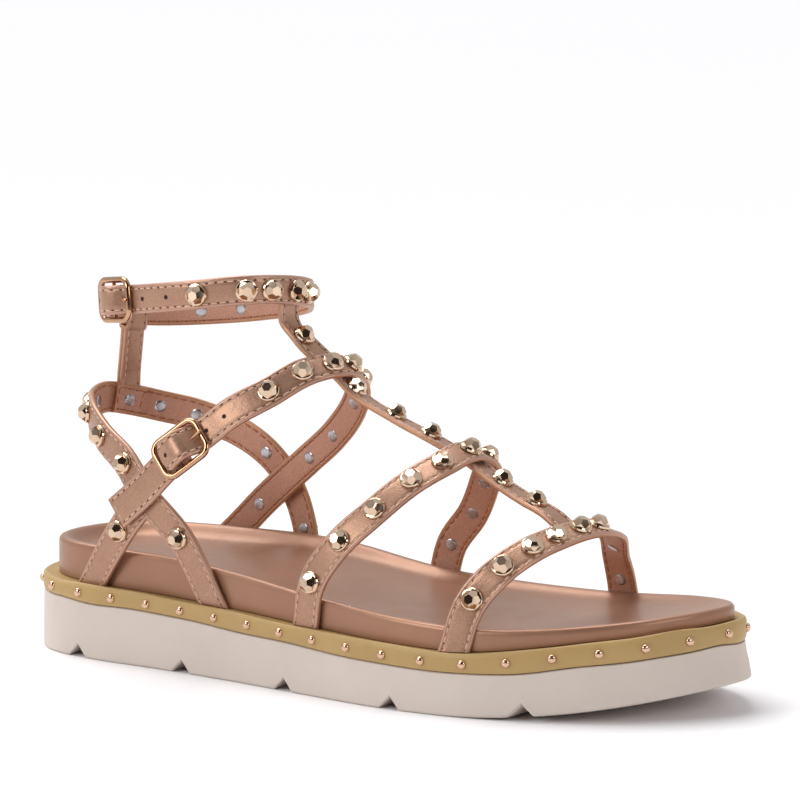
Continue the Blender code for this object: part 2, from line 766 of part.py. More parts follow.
def build_riser(collection):
    """Back riser: a doubled strap up from the heel strap, ending in a loop round the ankle strap."""
    middle = ankle_point(math.pi)
    away = ankle_away(math.pi)
    run = ankle_point(math.pi + 0.05) - ankle_point(math.pi - 0.05)
    rise = np.cross(away, run)
    rise *= np.sign(rise[2]) / np.linalg.norm(rise)
    deep = STRAP_THICKNESS + LOOP_PLAY
    tall = ANKLE_STRAP_WIDTH / 2 + LOOP_PLAY + STRAP_THICKNESS / 2
    loop = []
    for fx, fz, turn in ((1, 1, 0), (-1, 1, 90), (-1, -1, 180), (1, -1, 270)):
        for share in (0.0, 0.5, 1.0):
            angle = math.radians(turn + 90 * share)
            out = 0.5 * deep * (fx + math.cos(angle))
            up = fz * (tall - 0.5 * deep) + 0.5 * deep * math.sin(angle)
            loop.append(middle + away * out + rise * up)
    loop = np.array(loop)
    loop_body = ribbon("riser_loop", loop, loop - middle, collection, width=RISER_WIDTH, closed=True)
    foot = heel_point_near(middle)
    level = np.array([0, 0, STRAP_WIDTH])
    inside = STRAP_THICKNESS * away
    top = middle - rise * (tall - STRAP_THICKNESS * 0.2)
    joint = foot + 0.75 * level - 0.5 * inside
    path = smooth(np.array([foot - 0.42 * level - inside, foot - 0.95 * inside, joint, (joint + top) / 2, top]))
    web = ribbon("riser_web", path, np.tile(away, (len(path), 1)), collection, width=RISER_WIDTH,
                 thickness=RISER_THICKNESS)
    join(web, loop_body, "UNION")
    return web


def heel_point_near(point):
    points = smooth(route(HEEL_STRAP), STRAP_STEP / 4)
    return points[np.argmin(np.linalg.norm(points[:, :2] - point[:2], axis=1))]


def tucked_tee():
    """The T-strap's route, with its top end lying flat against the inside of the ankle strap."""
    inside = ankle_point(TEE_ANGLE) - ankle_away(TEE_ANGLE) * (STRAP_THICKNESS + 3.5 * GAP)
    steps = np.array([[0, 0, -0.95 * STRAP_WIDTH], [0, 0, -0.3 * STRAP_WIDTH], [0, 0, 0.35 * STRAP_WIDTH]])
    return np.concatenate([route(TEE_STRAP), inside + steps])


def turned_to_ankle(points, directions):
    top = points[-1][2]
    share = np.clip(1 - (top - points[:, 2] - STRAP_WIDTH) / (2 * STRAP_WIDTH), 0, 1)[:, None]
    return points, directions * (1 - share) + ankle_away(TEE_ANGLE) * share


def build_upper(collection, cutters, finish):
    """All the foot straps as one body, joined where they cross."""
    paths = {}
    for name, rows, field in (
        ("toe", TOE_STRAP, foot_field),
        ("vamp", VAMP_STRAP, foot_field),
        ("tee", TEE_STRAP, foot_field),
        ("heel", HEEL_STRAP, heel_field),
        ("rear", REAR_STRAP, heel_field),
    ):
        points = smooth(tucked_tee() if name == "tee" else route(rows))
        paths[name] = (points, outward(points, field))
    paths["tee"] = turned_to_ankle(*paths["tee"])
    points, away, seat, bar_foot = instep_layout()
    paths["instep"] = (points, away)
    tab = np.concatenate([route(BUCKLE_TAB), [bar_foot + FOLD_REACH * seat.forward]])
    tab = smooth(tab)
    tab_away = outward(tab, foot_field)
    bodies = []
    for name, (points, directions) in paths.items():
        first = name in ("toe", "vamp", "heel", "rear")
        last = name in ("toe", "vamp", "heel", "instep")
        if first:
            points = lengthen_base(points, STRAP_WIDTH)
        if last:
            points = lengthen_base(points[::-1], STRAP_WIDTH)[::-1]
        spread = np.concatenate([directions[:1]] * first + [directions] + [directions[-1:]] * last)
        width = TEE_WIDTH if name == "tee" else STRAP_WIDTH
        bodies.append(ribbon(name + "_strap", points, spread, collection, width=width))
    folded = ribbon("buckle_tab", tab, tab_away, collection, width=TAB_WIDTH)
    join(folded, fold_round_bar("tab_fold", seat, TAB_WIDTH, collection), "UNION")
    rod_hole = cut_for_hardware(folded, "instep", seat, cutters)
    join(bodies[-1], rod_hole, "DIFFERENCE")
    bodies.append(folded)
    bodies.append(build_riser(collection))
    upper = bodies[0]
    upper.name = "upper"
    for body in bodies[1:]:
        join(upper, body, "UNION")
    join(upper, sole_block(cutters), "DIFFERENCE")
    join(upper, footbed_block(cutters), "DIFFERENCE")
    upper.data.materials.clear()
    upper.data.materials.append(finish)
    return paths, seat


def build_ankle_strap(collection, cutters, finish):
    points, away, seat = ankle_layout()
    strap = ribbon("ankle_strap", points, away, collection, finish, width=ANKLE_STRAP_WIDTH)
    fold = fold_round_bar("ankle_fold", seat, ANKLE_STRAP_WIDTH, collection)
    join(strap, fold, "UNION")
    cut_for_hardware(strap, "ankle", seat, cutters)
    strap.data.materials.clear()
    strap.data.materials.append(finish)
    return points, away, seat


def stud_mesh(finish):
    """Cast dome with a flat top, a ring of five-sided facets and a low collar, flat side down."""
    radius, height, sides = STUD_RADIUS, STUD_HEIGHT, STUD_SIDES
    rings = (
        # radius share, height share, turn in steps, corners a side
        (1.00, 0.00, 0.0),
        (1.00, 0.34, 0.0),
        (0.80, 0.70, 0.5),
        (0.46, 1.00, 0.5),
    )
    shape = bmesh.new()
    for reach, level, turn in rings:
        for step in range(sides):
            angle = 2 * math.pi * (step + turn) / sides
            shape.verts.new((reach * radius * math.cos(angle), reach * radius * math.sin(angle), level * height))
    bmesh.ops.convex_hull(shape, input=shape.verts)
    bmesh.ops.dissolve_limit(shape, angle_limit=0.02, verts=shape.verts, edges=shape.edges)
    bmesh.ops.recalc_face_normals(shape, faces=shape.faces)
    mesh = bpy.data.meshes.new("stud")
    shape.to_mesh(mesh)
    shape.free()
    mesh.materials.append(finish)
    return mesh


def place_studs(paths, collection, mesh):
    """Studs at even steps along each strap, standing on its outer face."""
    number = 0
    for strap, shares in STUD_ROWS.items():
        points, away = paths[strap]
        tangent, _, normal = frames(points, away)
        run = distance_along(points)
        for share in shares:
            middle = Vector(point_at(points, run, share * run[-1]))
            up = Vector(point_at(normal, run, share * run[-1])).normalized()
            along = Vector(point_at(tangent, run, share * run[-1]))
            number += 1
            stud = bpy.data.objects.new(f"stud_{number:02d}", mesh)
            stud.location = middle + up * (STRAP_THICKNESS / 2 + GAP)
            stud.rotation_mode = "QUATERNION"
            stud.rotation_quaternion = stud_turn(up, along)
            collection.objects.link(stud)


def stud_turn(up, along):
    """Rotation that stands a stud on its strap with a facet facing along it."""
    third = up.normalized()
    first = (along - along.dot(third) * third).normalized()
    second = third.cross(first)
    return Matrix((first, second, third)).transposed().to_quaternion()


def main():
    for old in list(bpy.data.objects):
        bpy.data.objects.remove(old)
    scene = bpy.context.scene
    sandal = bpy.data.collections.new("roman_sandal")
    cutters = bpy.data.collections.new("cutters")
    scene.collection.children.link(sandal)
    scene.collection.children.link(cutters)
    cream = make_material("cream_rubber", (0.69, 0.60, 0.53), 0.75)
    ochre = make_material("ochre_rand", (0.48, 0.33, 0.13), 0.6)
    leather = make_material("rose_gold_leather", (0.46, 0.25, 0.16), 0.42, 0.35)
    lining = make_material("footbed_leather", (0.40, 0.22, 0.18), 0.5)
    gold = make_material("pale_gold", (0.86, 0.70, 0.48), 0.18, 1.0)

    build_outsole(sandal, cutters, cream)
    build_rand(sandal, ochre)
    build_footbed(sandal, lining)
    paths, instep_seat = build_upper(sandal, cutters, leather)
    ankle_points, ankle_directions, ankle_seat = build_ankle_strap(sandal, cutters, leather)
    paths["ankle"] = (ankle_points, ankle_directions)
    for name, seat in (("instep", instep_seat), ("ankle", ankle_seat)):
        build_buckle(f"{name}_buckle", seat, sandal, gold)
        build_prong(f"{name}_prong", seat, sandal, gold)
    place_studs(paths, sandal, stud_mesh(gold))

    foot = outline(TOE_FLARE * np.clip(outline()[:, 0] / RAND_LENGTH, 0, 1))
    centre = (foot.max(axis=0) + foot.min(axis=0)) / 2
    origin = bpy.data.objects.new("sandal_origin", None)
    origin.location = (-centre[0], -centre[1], 0)
    sandal.objects.link(origin)
    for piece in list(sandal.objects) + list(cutters.objects):
        if piece is not origin:
            piece.parent = origin


main()
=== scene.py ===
"""Looks of a right Roman sandal: studded rose-gold straps on a cupped footbed, an ochre rand and a cream sole.

Shapes are worked out in metres from the back of the heel, with the toe along +X and the inner side of
the foot along +Y, and moved to the sandal's own frame as each mesh is built.
"""

import math

import bpy
import numpy as np
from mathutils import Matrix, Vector


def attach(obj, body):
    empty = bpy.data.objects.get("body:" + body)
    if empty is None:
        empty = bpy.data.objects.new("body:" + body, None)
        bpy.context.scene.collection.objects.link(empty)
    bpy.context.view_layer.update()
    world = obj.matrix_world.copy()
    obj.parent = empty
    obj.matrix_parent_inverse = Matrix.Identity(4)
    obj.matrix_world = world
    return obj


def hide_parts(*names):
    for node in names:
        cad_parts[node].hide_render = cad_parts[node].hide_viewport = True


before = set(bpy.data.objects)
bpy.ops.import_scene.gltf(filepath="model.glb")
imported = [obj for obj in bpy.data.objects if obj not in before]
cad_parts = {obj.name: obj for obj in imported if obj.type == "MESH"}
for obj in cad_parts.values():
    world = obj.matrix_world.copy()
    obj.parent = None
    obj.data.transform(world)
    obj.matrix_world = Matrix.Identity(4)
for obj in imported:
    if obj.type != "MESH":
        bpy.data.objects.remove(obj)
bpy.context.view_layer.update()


# Camera and studio: a long lens, seen from the outer side and a little above the floor, on white paper.
# One broad soft light hangs overhead to the left, the room behind the camera is dark, and that is what
# the metal mirrors as near-black facets.
def linear(code):
    """Linear colour of an sRGB hex code, each channel through the sRGB curve."""
    channel = np.array([int(code[i:i + 2], 16) for i in (1, 3, 5)]) / 255.0
    curve = np.where(channel <= 0.04045, channel / 12.92, ((channel + 0.055) / 1.055) ** 2.4)
    return (*curve.tolist(), 1.0)


def add_node(tree, kind, values=(), **settings):
    """Adds a node with its settings; values maps its inputs to numbers, colours or another node's output."""
    made = tree.nodes.new(kind)
    for key, setting in settings.items():
        setattr(made, key, setting)
    for slot, value in dict(values).items():
        if isinstance(value, bpy.types.NodeSocket):
            tree.links.new(value, made.inputs[slot])
        else:
            made.inputs[slot].default_value = value
    return made


scene = bpy.context.scene
scene.view_settings.view_transform = "Standard"
scene.view_settings.look = "None"

lens = bpy.data.cameras.new("camera")
lens.lens = 274.855
lens.sensor_width = 36.0
lens.clip_end = 40.0
camera = bpy.data.objects.new("camera", lens)
camera.location = (1.12475, -1.64954, 0.38380)
camera.rotation_mode = "QUATERNION"
camera.rotation_quaternion = Vector((-0.55541, 0.81891, -0.14458)).to_track_quat("-Z", "Y")
scene.collection.objects.link(camera)
scene.camera = camera

paper_mesh = bpy.data.meshes.new("paper")
paper_mesh.from_pydata([(-9, -9, 0), (9, -9, 0), (9, 9, 0), (-9, 9, 0)], [], [(0, 1, 2, 3)])
paper = bpy.data.objects.new("paper", paper_mesh)
scene.collection.objects.link(paper)
paper_finish = bpy.data.materials.new("white_paper")
paper_finish.use_nodes = True
paper_shader = paper_finish.node_tree.nodes["Principled BSDF"]
paper_shader.inputs["Base Color"].default_value = linear("#f7f6f8")
paper_shader.inputs["Roughness"].default_value = 0.75
paper_mesh.materials.append(paper_finish)

for title, place, kind, width, power in (
    ("ceiling_light", (-0.5, 0.15, 1.0), "SUN", 46.0, 2.0),
    ("left_light", (-0.45, -1.00, 0.60), "AREA", 0.5, 4.6),
    ("right_light", (1.15, -0.40, 0.55), "AREA", 0.5, 3.2),
):
    data = bpy.data.lights.new(title, kind)
    data.energy = power
    if kind == "SUN":
        data.angle = math.radians(width)
    else:
        data.size = width
    lamp = bpy.data.objects.new(title, data)
    lamp.location = place
    lamp.rotation_mode = "QUATERNION"
    lamp.rotation_quaternion = (Vector((0, 0, 0.04)) - Vector(place)).to_track_quat("-Z", "Y")
    scene.collection.objects.link(lamp)

room = bpy.data.worlds.new("room")
room.use_nodes = True
scene.world = room
air = room.node_tree
air.nodes.clear()
looking = add_node(air, "ShaderNodeTexCoord").outputs["Generated"]
facing = add_node(air, "ShaderNodeVectorMath", {0: looking, 1: (0.555, -0.819, 0.145)}, operation="DOT_PRODUCT")
dim = add_node(air, "ShaderNodeMapRange", {"Value": facing.outputs["Value"], "From Min": 0.15, "From Max": 0.65})
dark_room = add_node(
    air, "ShaderNodeMix", {0: dim.outputs["Result"], 6: (0.95, 0.95, 0.97, 1.0), 7: (0.05, 0.04, 0.035, 1.0)},
    data_type="RGBA",
)
glow = add_node(air, "ShaderNodeBackground", {"Color": dark_room.outputs[2], "Strength": 0.74})
add_node(air, "ShaderNodeOutputWorld", {"Surface": glow.outputs["Background"]})


# Outsole: one moulding of foamed cream rubber, cut across its underside by five V-shaped notches. Its
# plan is a table of half widths round the foot, and its heights are shares along the length.
SOLE_LENGTH = 0.2638
SOLE_WIDTH = 0.0973
OUTLINE = (
    # outer side, inner side: shares of the width every 15 degrees from heel to toe
    (-0.027, -0.027),
    (-0.205, 0.172),
    (-0.316, 0.303),
    (-0.364, 0.360),
    (-0.380, 0.359),
    (-0.415, 0.319),
    (-0.470, 0.325),
    (-0.515, 0.411),
    (-0.491, 0.480),
    (-0.392, 0.460),
    (-0.249, 0.353),
    (-0.076, 0.208),
    (0.079, 0.079),
)
LAYERS = (
    # along, then shares of the heights of outsole, rand and footbed, and of the cup's depth
    (0.000, 1.000, 1.00, 1.00, 1.00),
    (0.280, 0.892, 1.08, 1.05, 1.00),
    (0.510, 0.775, 1.10, 0.80, 0.60),
    (0.737, 0.674, 1.27, 0.61, 0.45),
    (0.869, 0.730, 1.33, 0.44, 0.40),
    (1.000, 0.647, 1.35, 0.41, 0.35),
)
OUTSOLE_HEIGHT = 0.0204
TOE_SPRING = 0.010
SPRING_START = 0.70
TOE_FLARE = 0.0018
EASED = 0.0009
GAP = 0.0003
NOTCH_DEPTH = 0.0042
NOTCH_SIDES = (0.0045, 0.0036)
NOTCHES = 0.112 + 0.1753 * np.arange(5)


def hermite(stations, values, where):
    """Smooth curve through a table: cubic between stations, with slopes weighted by the nearer step."""
    stations = np.asarray(stations, float)
    values = np.asarray(values, float)
    steps = np.diff(stations)
    slopes = np.diff(values) / steps
    inner = (slopes[:-1] * steps[1:] + slopes[1:] * steps[:-1]) / (steps[1:] + steps[:-1])
    tangents = np.concatenate([slopes[:1], inner, slopes[-1:]])
    where = np.clip(where, stations[0], stations[-1])
    low = np.clip(np.searchsorted(stations, where) - 1, 0, len(stations) - 2)
    share = (where - stations[low]) / steps[low]
    start = (2 * share**3 - 3 * share**2 + 1) * values[low]
    end = (3 * share**2 - 2 * share**3) * values[low + 1]
    leaving = (share**3 - 2 * share**2 + share) * steps[low] * tangents[low]
    arriving = (share**3 - share**2) * steps[low] * tangents[low + 1]
    return start + end + leaving + arriving


def around(values, where):
    """Smooth closed curve through evenly spaced values: a cubic on each value and its three neighbours."""
    values = np.asarray(values, float)
    low = np.floor(where).astype(int)
    share = where - low
    before, first, second, after = [values[(low + k) % len(values)] for k in (-1, 0, 1, 2)]
    square = 2 * before - 5 * first + 4 * second - after
    cube = 3 * first - before - 3 * second + after
    return 0.5 * (2 * first + (second - before) * share + square * share**2 + cube * share**3)


def edge_across(turn):
    """Distance of the rand's edge from the X axis at a turn in degrees: 0 heel, 180 toe, then back inside."""
    outer, inner = [list(column) for column in zip(*OUTLINE)]
    return SOLE_WIDTH * around(outer + inner[-2:0:-1], np.asarray(turn, float) / 15.0)


def outline(offset, turn):
    """Plan points at each turn: x from a cosine of the turn, y from the table, both moved out along the normal."""
    plan = np.stack([SOLE_LENGTH * (1 - np.cos(np.radians(turn))) / 2, edge_across(turn)], axis=1)
    run = np.roll(plan, -1, axis=0) - np.roll(plan, 1, axis=0)
    normal = np.stack([run[:, 1], -run[:, 0]], axis=1)
    normal /= np.linalg.norm(normal, axis=1)[:, None]
    return plan + normal * np.reshape(offset, (-1, 1))


def layer(column, x):
    return hermite([row[0] for row in LAYERS], [row[column] for row in LAYERS], np.asarray(x) / SOLE_LENGTH)


def floor_height(x):
    """Underside: flat to the ball, then rising with the square of the distance to the toe."""
    beyond = np.clip((np.asarray(x) / SOLE_LENGTH - SPRING_START) / (1 - SPRING_START), 0, None)
    return TOE_SPRING * beyond**2


def notch_height(x):
    """Tents over the underside, one for each notch, longer towards the heel than towards the toe."""
    away = np.asarray(x)[:, None] - SOLE_LENGTH * NOTCHES
    side = np.where(away < 0, -away / NOTCH_SIDES[0], away / NOTCH_SIDES[1])
    return NOTCH_DEPTH * np.clip(1 - side, 0, None).max(axis=1)


def outsole_top(x):
    return floor_height(x) + OUTSOLE_HEIGHT * layer(1, x)


def band_wave(turn, size, phase):
    """Hand-laid unevenness round the sole: three sines of whole periods."""
    angle = np.radians(turn)
    waves = np.sin(7 * angle + phase) + 0.7 * np.sin(13 * angle + 2.1 * phase) + 0.5 * np.sin(21 * angle + 3.7 * phase)
    return size * waves


def grid_faces(rows, columns, ring_rows=False, ring_columns=True):
    """Quads of a grid, row by row; a ring closes on its first row or column."""
    i = np.arange(rows if ring_rows else rows - 1)[:, None]
    j = np.arange(columns if ring_columns else columns - 1)[None]
    below, beside = (i + 1) % rows, (j + 1) % columns
    corners = [i * columns + j, i * columns + beside, below * columns + beside, below * columns + j]
    return np.stack(corners, axis=-1).reshape(-1, 4)


def outward_faces(points, faces):
    """Turns all faces over where the volume under them comes out negative."""
    volume = 0.0
    for face in faces:
        volume += np.dot(points[face[0]], np.cross(points[face[1]], points[face[2]]))
        if len(face) == 4:
            volume += np.dot(points[face[0]], np.cross(points[face[2]], points[face[3]]))
    return faces if volume > 0 else [tuple(reversed(face)) for face in faces]


half_turn = np.degrees(np.arccos(1 - 2 * np.sort(np.concatenate([
    (1 - np.cos(np.radians(np.linspace(0, 180, 361)))) / 2,
    NOTCHES,
    NOTCHES - NOTCH_SIDES[0] / SOLE_LENGTH,
    NOTCHES + NOTCH_SIDES[1] / SOLE_LENGTH,
]).clip(0, 1))))
TURN = np.concatenate([half_turn, 360 - half_turn[-2:0:-1]])
coarse = outline(TOE_FLARE * (1 - np.cos(np.radians(np.arange(0, 360, 5)))) / 2, np.arange(0, 360, 5.0))
TO_MIDDLE = np.array([*-(coarse.max(axis=0) + coarse.min(axis=0)) / 2, 0.0])


def build(name, shells, finishes, sharp=40.0):
    """One mesh from shells of (points, faces, finish numbers, map points), moved into the sandal's frame."""
    points, faces, slots, maps, count = [], [], [], [], 0
    for shell_points, shell_faces, shell_slots, shell_maps in shells:
        points.append(shell_points)
        faces += [tuple(int(corner) + count for corner in face) for face in shell_faces]
        slots.append(np.broadcast_to(shell_slots, len(shell_faces)))
        maps.append(np.zeros((len(shell_points), 2)) if shell_maps is None else shell_maps)
        count += len(shell_points)
    mesh = bpy.data.meshes.new(name)
    mesh.from_pydata((np.concatenate(points) + TO_MIDDLE).tolist(), [], faces)
    mesh.polygons.foreach_set("use_smooth", np.ones(len(faces), bool))
    mesh.polygons.foreach_set("material_index", np.concatenate(slots).astype(np.int32))
    corner = np.empty(len(mesh.loops), np.int32)
    mesh.loops.foreach_get("vertex_index", corner)
    uv = mesh.uv_layers.new(name="UVMap")
    uv.data.foreach_set("uv", np.concatenate(maps)[corner].astype(np.float32).ravel())
    for finish in finishes:
        mesh.materials.append(finish)
    mesh.update()
    mesh.set_sharp_from_angle(angle=math.radians(sharp))
    piece = bpy.data.objects.new(name, mesh)
    scene.collection.objects.link(piece)
    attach(piece, "root")
    return piece


def stack_of_rings(rings):
    """Closed layer from plan rings and their heights, with both ends bridged straight across the foot."""
    count = len(TURN)
    points = np.concatenate([np.column_stack([plan, heights]) for plan, heights in rings])
    faces = [tuple(face) for face in grid_faces(len(rings), count)]
    for start in (0, (len(rings) - 1) * count):
        i = np.arange(1, count // 2 - 1)
        bridge = np.stack([start + i, start + i + 1, start + count - i - 1, start + count - i], axis=1)
        ends = [(start, start + 1, start + count - 1)]
        ends.append((start + count // 2 - 1, start + count // 2, start + count // 2 + 1))
        cap = [tuple(face) for face in bridge] + ends
        faces += cap if start == 0 else [tuple(reversed(face)) for face in cap]
    return points, outward_faces(points, faces), 0, None


def new_finish(name):
    """A material with its shader, its node tree and a place to read patterns from."""
    made = bpy.data.materials.new(name)
    made.use_nodes = True
    return made, made.node_tree, made.node_tree.nodes["Principled BSDF"]


# Foamed rubber from a mould: dull, slightly cloudy, with a fine pebble from the mould's wall.
cream_rubber, tree, shader = new_finish("moulded_cream_rubber")
where = add_node(tree, "ShaderNodeTexCoord").outputs["Object"]
cloud = add_node(tree, "ShaderNodeTexNoise", {"Vector": where, "Scale": 28.0, "Detail": 3.0})
tint = add_node(tree, "ShaderNodeMix", {0: cloud.outputs[0], 6: linear("#cdbfb4"), 7: linear("#dcd0c6")}, data_type="RGBA")
pebble = add_node(tree, "ShaderNodeTexNoise", {"Vector": where, "Scale": 1400.0, "Detail": 2.0})
dents = add_node(tree, "ShaderNodeBump", {"Height": pebble.outputs[0], "Strength": 0.35, "Distance": 0.0002})
tree.links.new(tint.outputs[2], shader.inputs["Base Color"])
tree.links.new(dents.outputs["Normal"], shader.inputs["Normal"])
shader.inputs["Roughness"].default_value = 0.72
shader.inputs["Specular IOR Level"].default_value = 0.35

along_turn = (1 - np.cos(np.radians(TURN))) / 2
seam_wave = band_wave(TURN, 0.00026, 0.4)
tread = outline(TOE_FLARE * along_turn - EASED, TURN)
foot = outline(TOE_FLARE * along_turn, TURN)
mid = outline(TOE_FLARE * along_turn * 0.6 - 0.0001, TURN)
waist = outline(TOE_FLARE * along_turn / 3 - 0.0002, TURN)
collar = outline(-GAP, TURN)
tucked = outline(-3 * GAP, TURN)
outsole = build("outsole_moulding", [stack_of_rings((
    (tread, floor_height(tread[:, 0]) + notch_height(tread[:, 0])),
    (outline(TOE_FLARE * along_turn - 0.3 * EASED, TURN), floor_height(foot[:, 0]) + notch_height(foot[:, 0]) + 0.3 * EASED),
    (foot, floor_height(foot[:, 0]) + notch_height(foot[:, 0]) + EASED),
    (mid, outsole_top(mid[:, 0]) - OUTSOLE_HEIGHT * 0.55 * layer(1, mid[:, 0]) + 0.3 * notch_height(foot[:, 0])),
    (waist, outsole_top(waist[:, 0]) - OUTSOLE_HEIGHT * 0.25),
    (collar, outsole_top(collar[:, 0]) - GAP - 0.0003 + seam_wave),
    (tucked, outsole_top(tucked[:, 0]) - GAP + seam_wave),
))], [cream_rubber], sharp=24.0)
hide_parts("outsole")


# Rand: an ochre band wrapped by hand round the edge between outsole and footbed, so that both its edges
# wander a little. Copper-coloured dome nails hold it, evenly spaced along its middle.
RAND_HEIGHT = 0.0052
LEDGE_WIDTH = 0.00375
LIP = 0.0004
HEEL_LEDGE_EXTRA = 0.0017


def ledge_height(x):
    return outsole_top(x) + RAND_HEIGHT * layer(2, x)


def ledge_width(x):
    return LEDGE_WIDTH + HEEL_LEDGE_EXTRA * (1 - np.asarray(x) / SOLE_LENGTH)


# Coated synthetic band, semi-matt, a touch darker where it is handled.
ochre_band, tree, shader = new_finish("coated_ochre_band")
where = add_node(tree, "ShaderNodeTexCoord").outputs["Object"]
cloud = add_node(tree, "ShaderNodeTexNoise", {"Vector": where, "Scale": 60.0, "Detail": 4.0})
tint = add_node(tree, "ShaderNodeMix", {0: cloud.outputs[0], 6: linear("#a88850"), 7: linear("#c0a068")}, data_type="RGBA")
grain = add_node(tree, "ShaderNodeTexVoronoi", {"Vector": where, "Scale": 1500.0})
dents = add_node(tree, "ShaderNodeBump", {"Height": grain.outputs["Distance"], "Strength": 0.25, "Distance": 0.0001})
tree.links.new(tint.outputs[2], shader.inputs["Base Color"])
tree.links.new(dents.outputs["Normal"], shader.inputs["Normal"])
shader.inputs["Roughness"].default_value = 0.5

top_wave = band_wave(TURN, 0.00022, 1.7)
bulge = band_wave(TURN, 0.00012, 2.9)
inner_edge = outline(-ledge_width(outline(0, TURN)[:, 0]) - 0.001, TURN)
rand_rings = []
for offset, level in ((-0.00045, 0.0), (-0.0001, 0.08), (0.0001, 0.22), (0.0002, 0.5), (0.0001, 0.8), (-0.0003, 0.94), (-0.0010, 1.0)):
    plan = outline(offset + bulge * 4 * level * (1 - level), TURN)
    low = outsole_top(plan[:, 0]) + seam_wave
    high = ledge_height(plan[:, 0]) + top_wave
    rand_rings.append((plan, low + (high - low) * level + LIP * (level > 0.9)))
rand_rings.append((outline(-0.0022, TURN), ledge_height(outline(-0.0022, TURN)[:, 0]) + top_wave * 0.4))
rand_rings.append((inner_edge, ledge_height(inner_edge[:, 0])))
rand = build("rand_band", [stack_of_rings(rand_rings)], [ochre_band], sharp=60.0)
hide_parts("rand")


def turned(profile, sides, phase=0.0):
    """Lathe shape: each row of the profile is a radius and a height, swept round Z, flat at both ends."""
    profile = np.asarray(profile, float)
    angle = 2 * np.pi * (np.arange(sides) + phase) / sides
    ring = np.stack([np.cos(angle), np.sin(angle)], axis=1)
    points = np.concatenate([
        (profile[:, :1, None] * ring[None]),
        np.broadcast_to(profile[:, 1:, None], (len(profile), sides, 1)),
    ], axis=2).reshape(-1, 3)
    faces = [tuple(face) for face in grid_faces(len(profile), sides)]
    faces.append(tuple(range(sides))[::-1])
    faces.append(tuple(range((len(profile) - 1) * sides, len(profile) * sides)))
    return points, outward_faces(points, faces)


def stamp(shape, origins, firsts, thirds, sizes=(1.0, 1.0, 1.0)):
    """Copies of a shape, each turned so that its X runs along firsts and its Z along thirds."""
    points, faces = shape
    seconds = np.cross(thirds, firsts)
    axes = np.stack([firsts, seconds, thirds], axis=1)
    copies = np.einsum("vk,nkj->nvj", points * np.asarray(sizes), axes) + origins[:, None]
    shift = np.arange(len(origins)) * len(points)
    all_faces = [tuple(corner + step for corner in face) for step in shift for face in faces]
    return copies.reshape(-1, 3), all_faces, 0, None


# Copper-plated steel domes: bright, with a dark ring where the head meets the band.
copper_plate, tree, shader = new_finish("copper_plated_steel")
where = add_node(tree, "ShaderNodeTexCoord").outputs["Object"]
smear = add_node(tree, "ShaderNodeTexNoise", {"Vector": where, "Scale": 500.0, "Detail": 2.0})
rough = add_node(tree, "ShaderNodeMapRange", {"Value": smear.outputs[0], "To Min": 0.12, "To Max": 0.3})
tree.links.new(rough.outputs[0], shader.inputs["Roughness"])
shader.inputs["Base Color"].default_value = linear("#d9b497")
shader.inputs["Metallic"].default_value = 1.0

NAIL_COUNT = 41
NAIL_PHASE = 0.25
fine_turn = np.arange(0, 360, 0.25)
edge_line = outline(0.0003 + band_wave(fine_turn, 0.00012, 2.9), fine_turn)
edge_run = np.concatenate([[0], np.cumsum(np.linalg.norm(np.diff(edge_line, axis=0, append=edge_line[:1]), axis=1))])
nail_turn = np.interp((np.arange(NAIL_COUNT) + NAIL_PHASE) / NAIL_COUNT * edge_run[-1], edge_run, np.append(fine_turn, 360.0))
nail_spots = np.stack([np.interp(nail_turn, fine_turn, edge_line[:, k]) for k in (0, 1)], axis=1)
ahead = np.stack([np.interp((nail_turn + 0.5) % 360, fine_turn, edge_line[:, k]) for k in (0, 1)], axis=1)
nail_run = np.column_stack([ahead - nail_spots, np.zeros(NAIL_COUNT)])
nail_run /= np.linalg.norm(nail_run, axis=1)[:, None]
nail_out = np.cross(nail_run, (0, 0, 1.0))
nail_spots = np.column_stack([nail_spots, outsole_top(nail_spots[:, 0]) + 0.5 * RAND_HEIGHT * layer(2, nail_spots[:, 0])])
dome = turned([(0.00155, -0.0007), (0.00155, 0.0000), (0.00146, 0.00042), (0.00118, 0.00076), (0.00076, 0.00098), (0.00026, 0.00108)], 16)
nails = build("rand_nails", [stamp(dome, nail_spots, nail_run, nail_out)], [copper_plate], sharp=50.0)


# Footbed: a cork board wrapped in rose leather with a metallic finish, its rim raised in a soft ridge
# round a shallow cup, and lifted a little under the arch.
FOOTBED_HEIGHT = 0.0124
CUP_DEPTH = 0.0045
RIM_WIDTH = 0.0026
ARCH_LIFT = 0.0035


def rim_height(x, y):
    """Top of the rim: the ledge, the footbed's height, and a bell-shaped lift on the inner side."""
    along = np.asarray(x) / SOLE_LENGTH
    arch = np.exp(-(((along - 0.39) / 0.13) ** 2)) * np.clip(np.asarray(y) / 0.012, 0, 1)
    return ledge_height(x) + FOOTBED_HEIGHT * layer(3, x) + ARCH_LIFT * arch


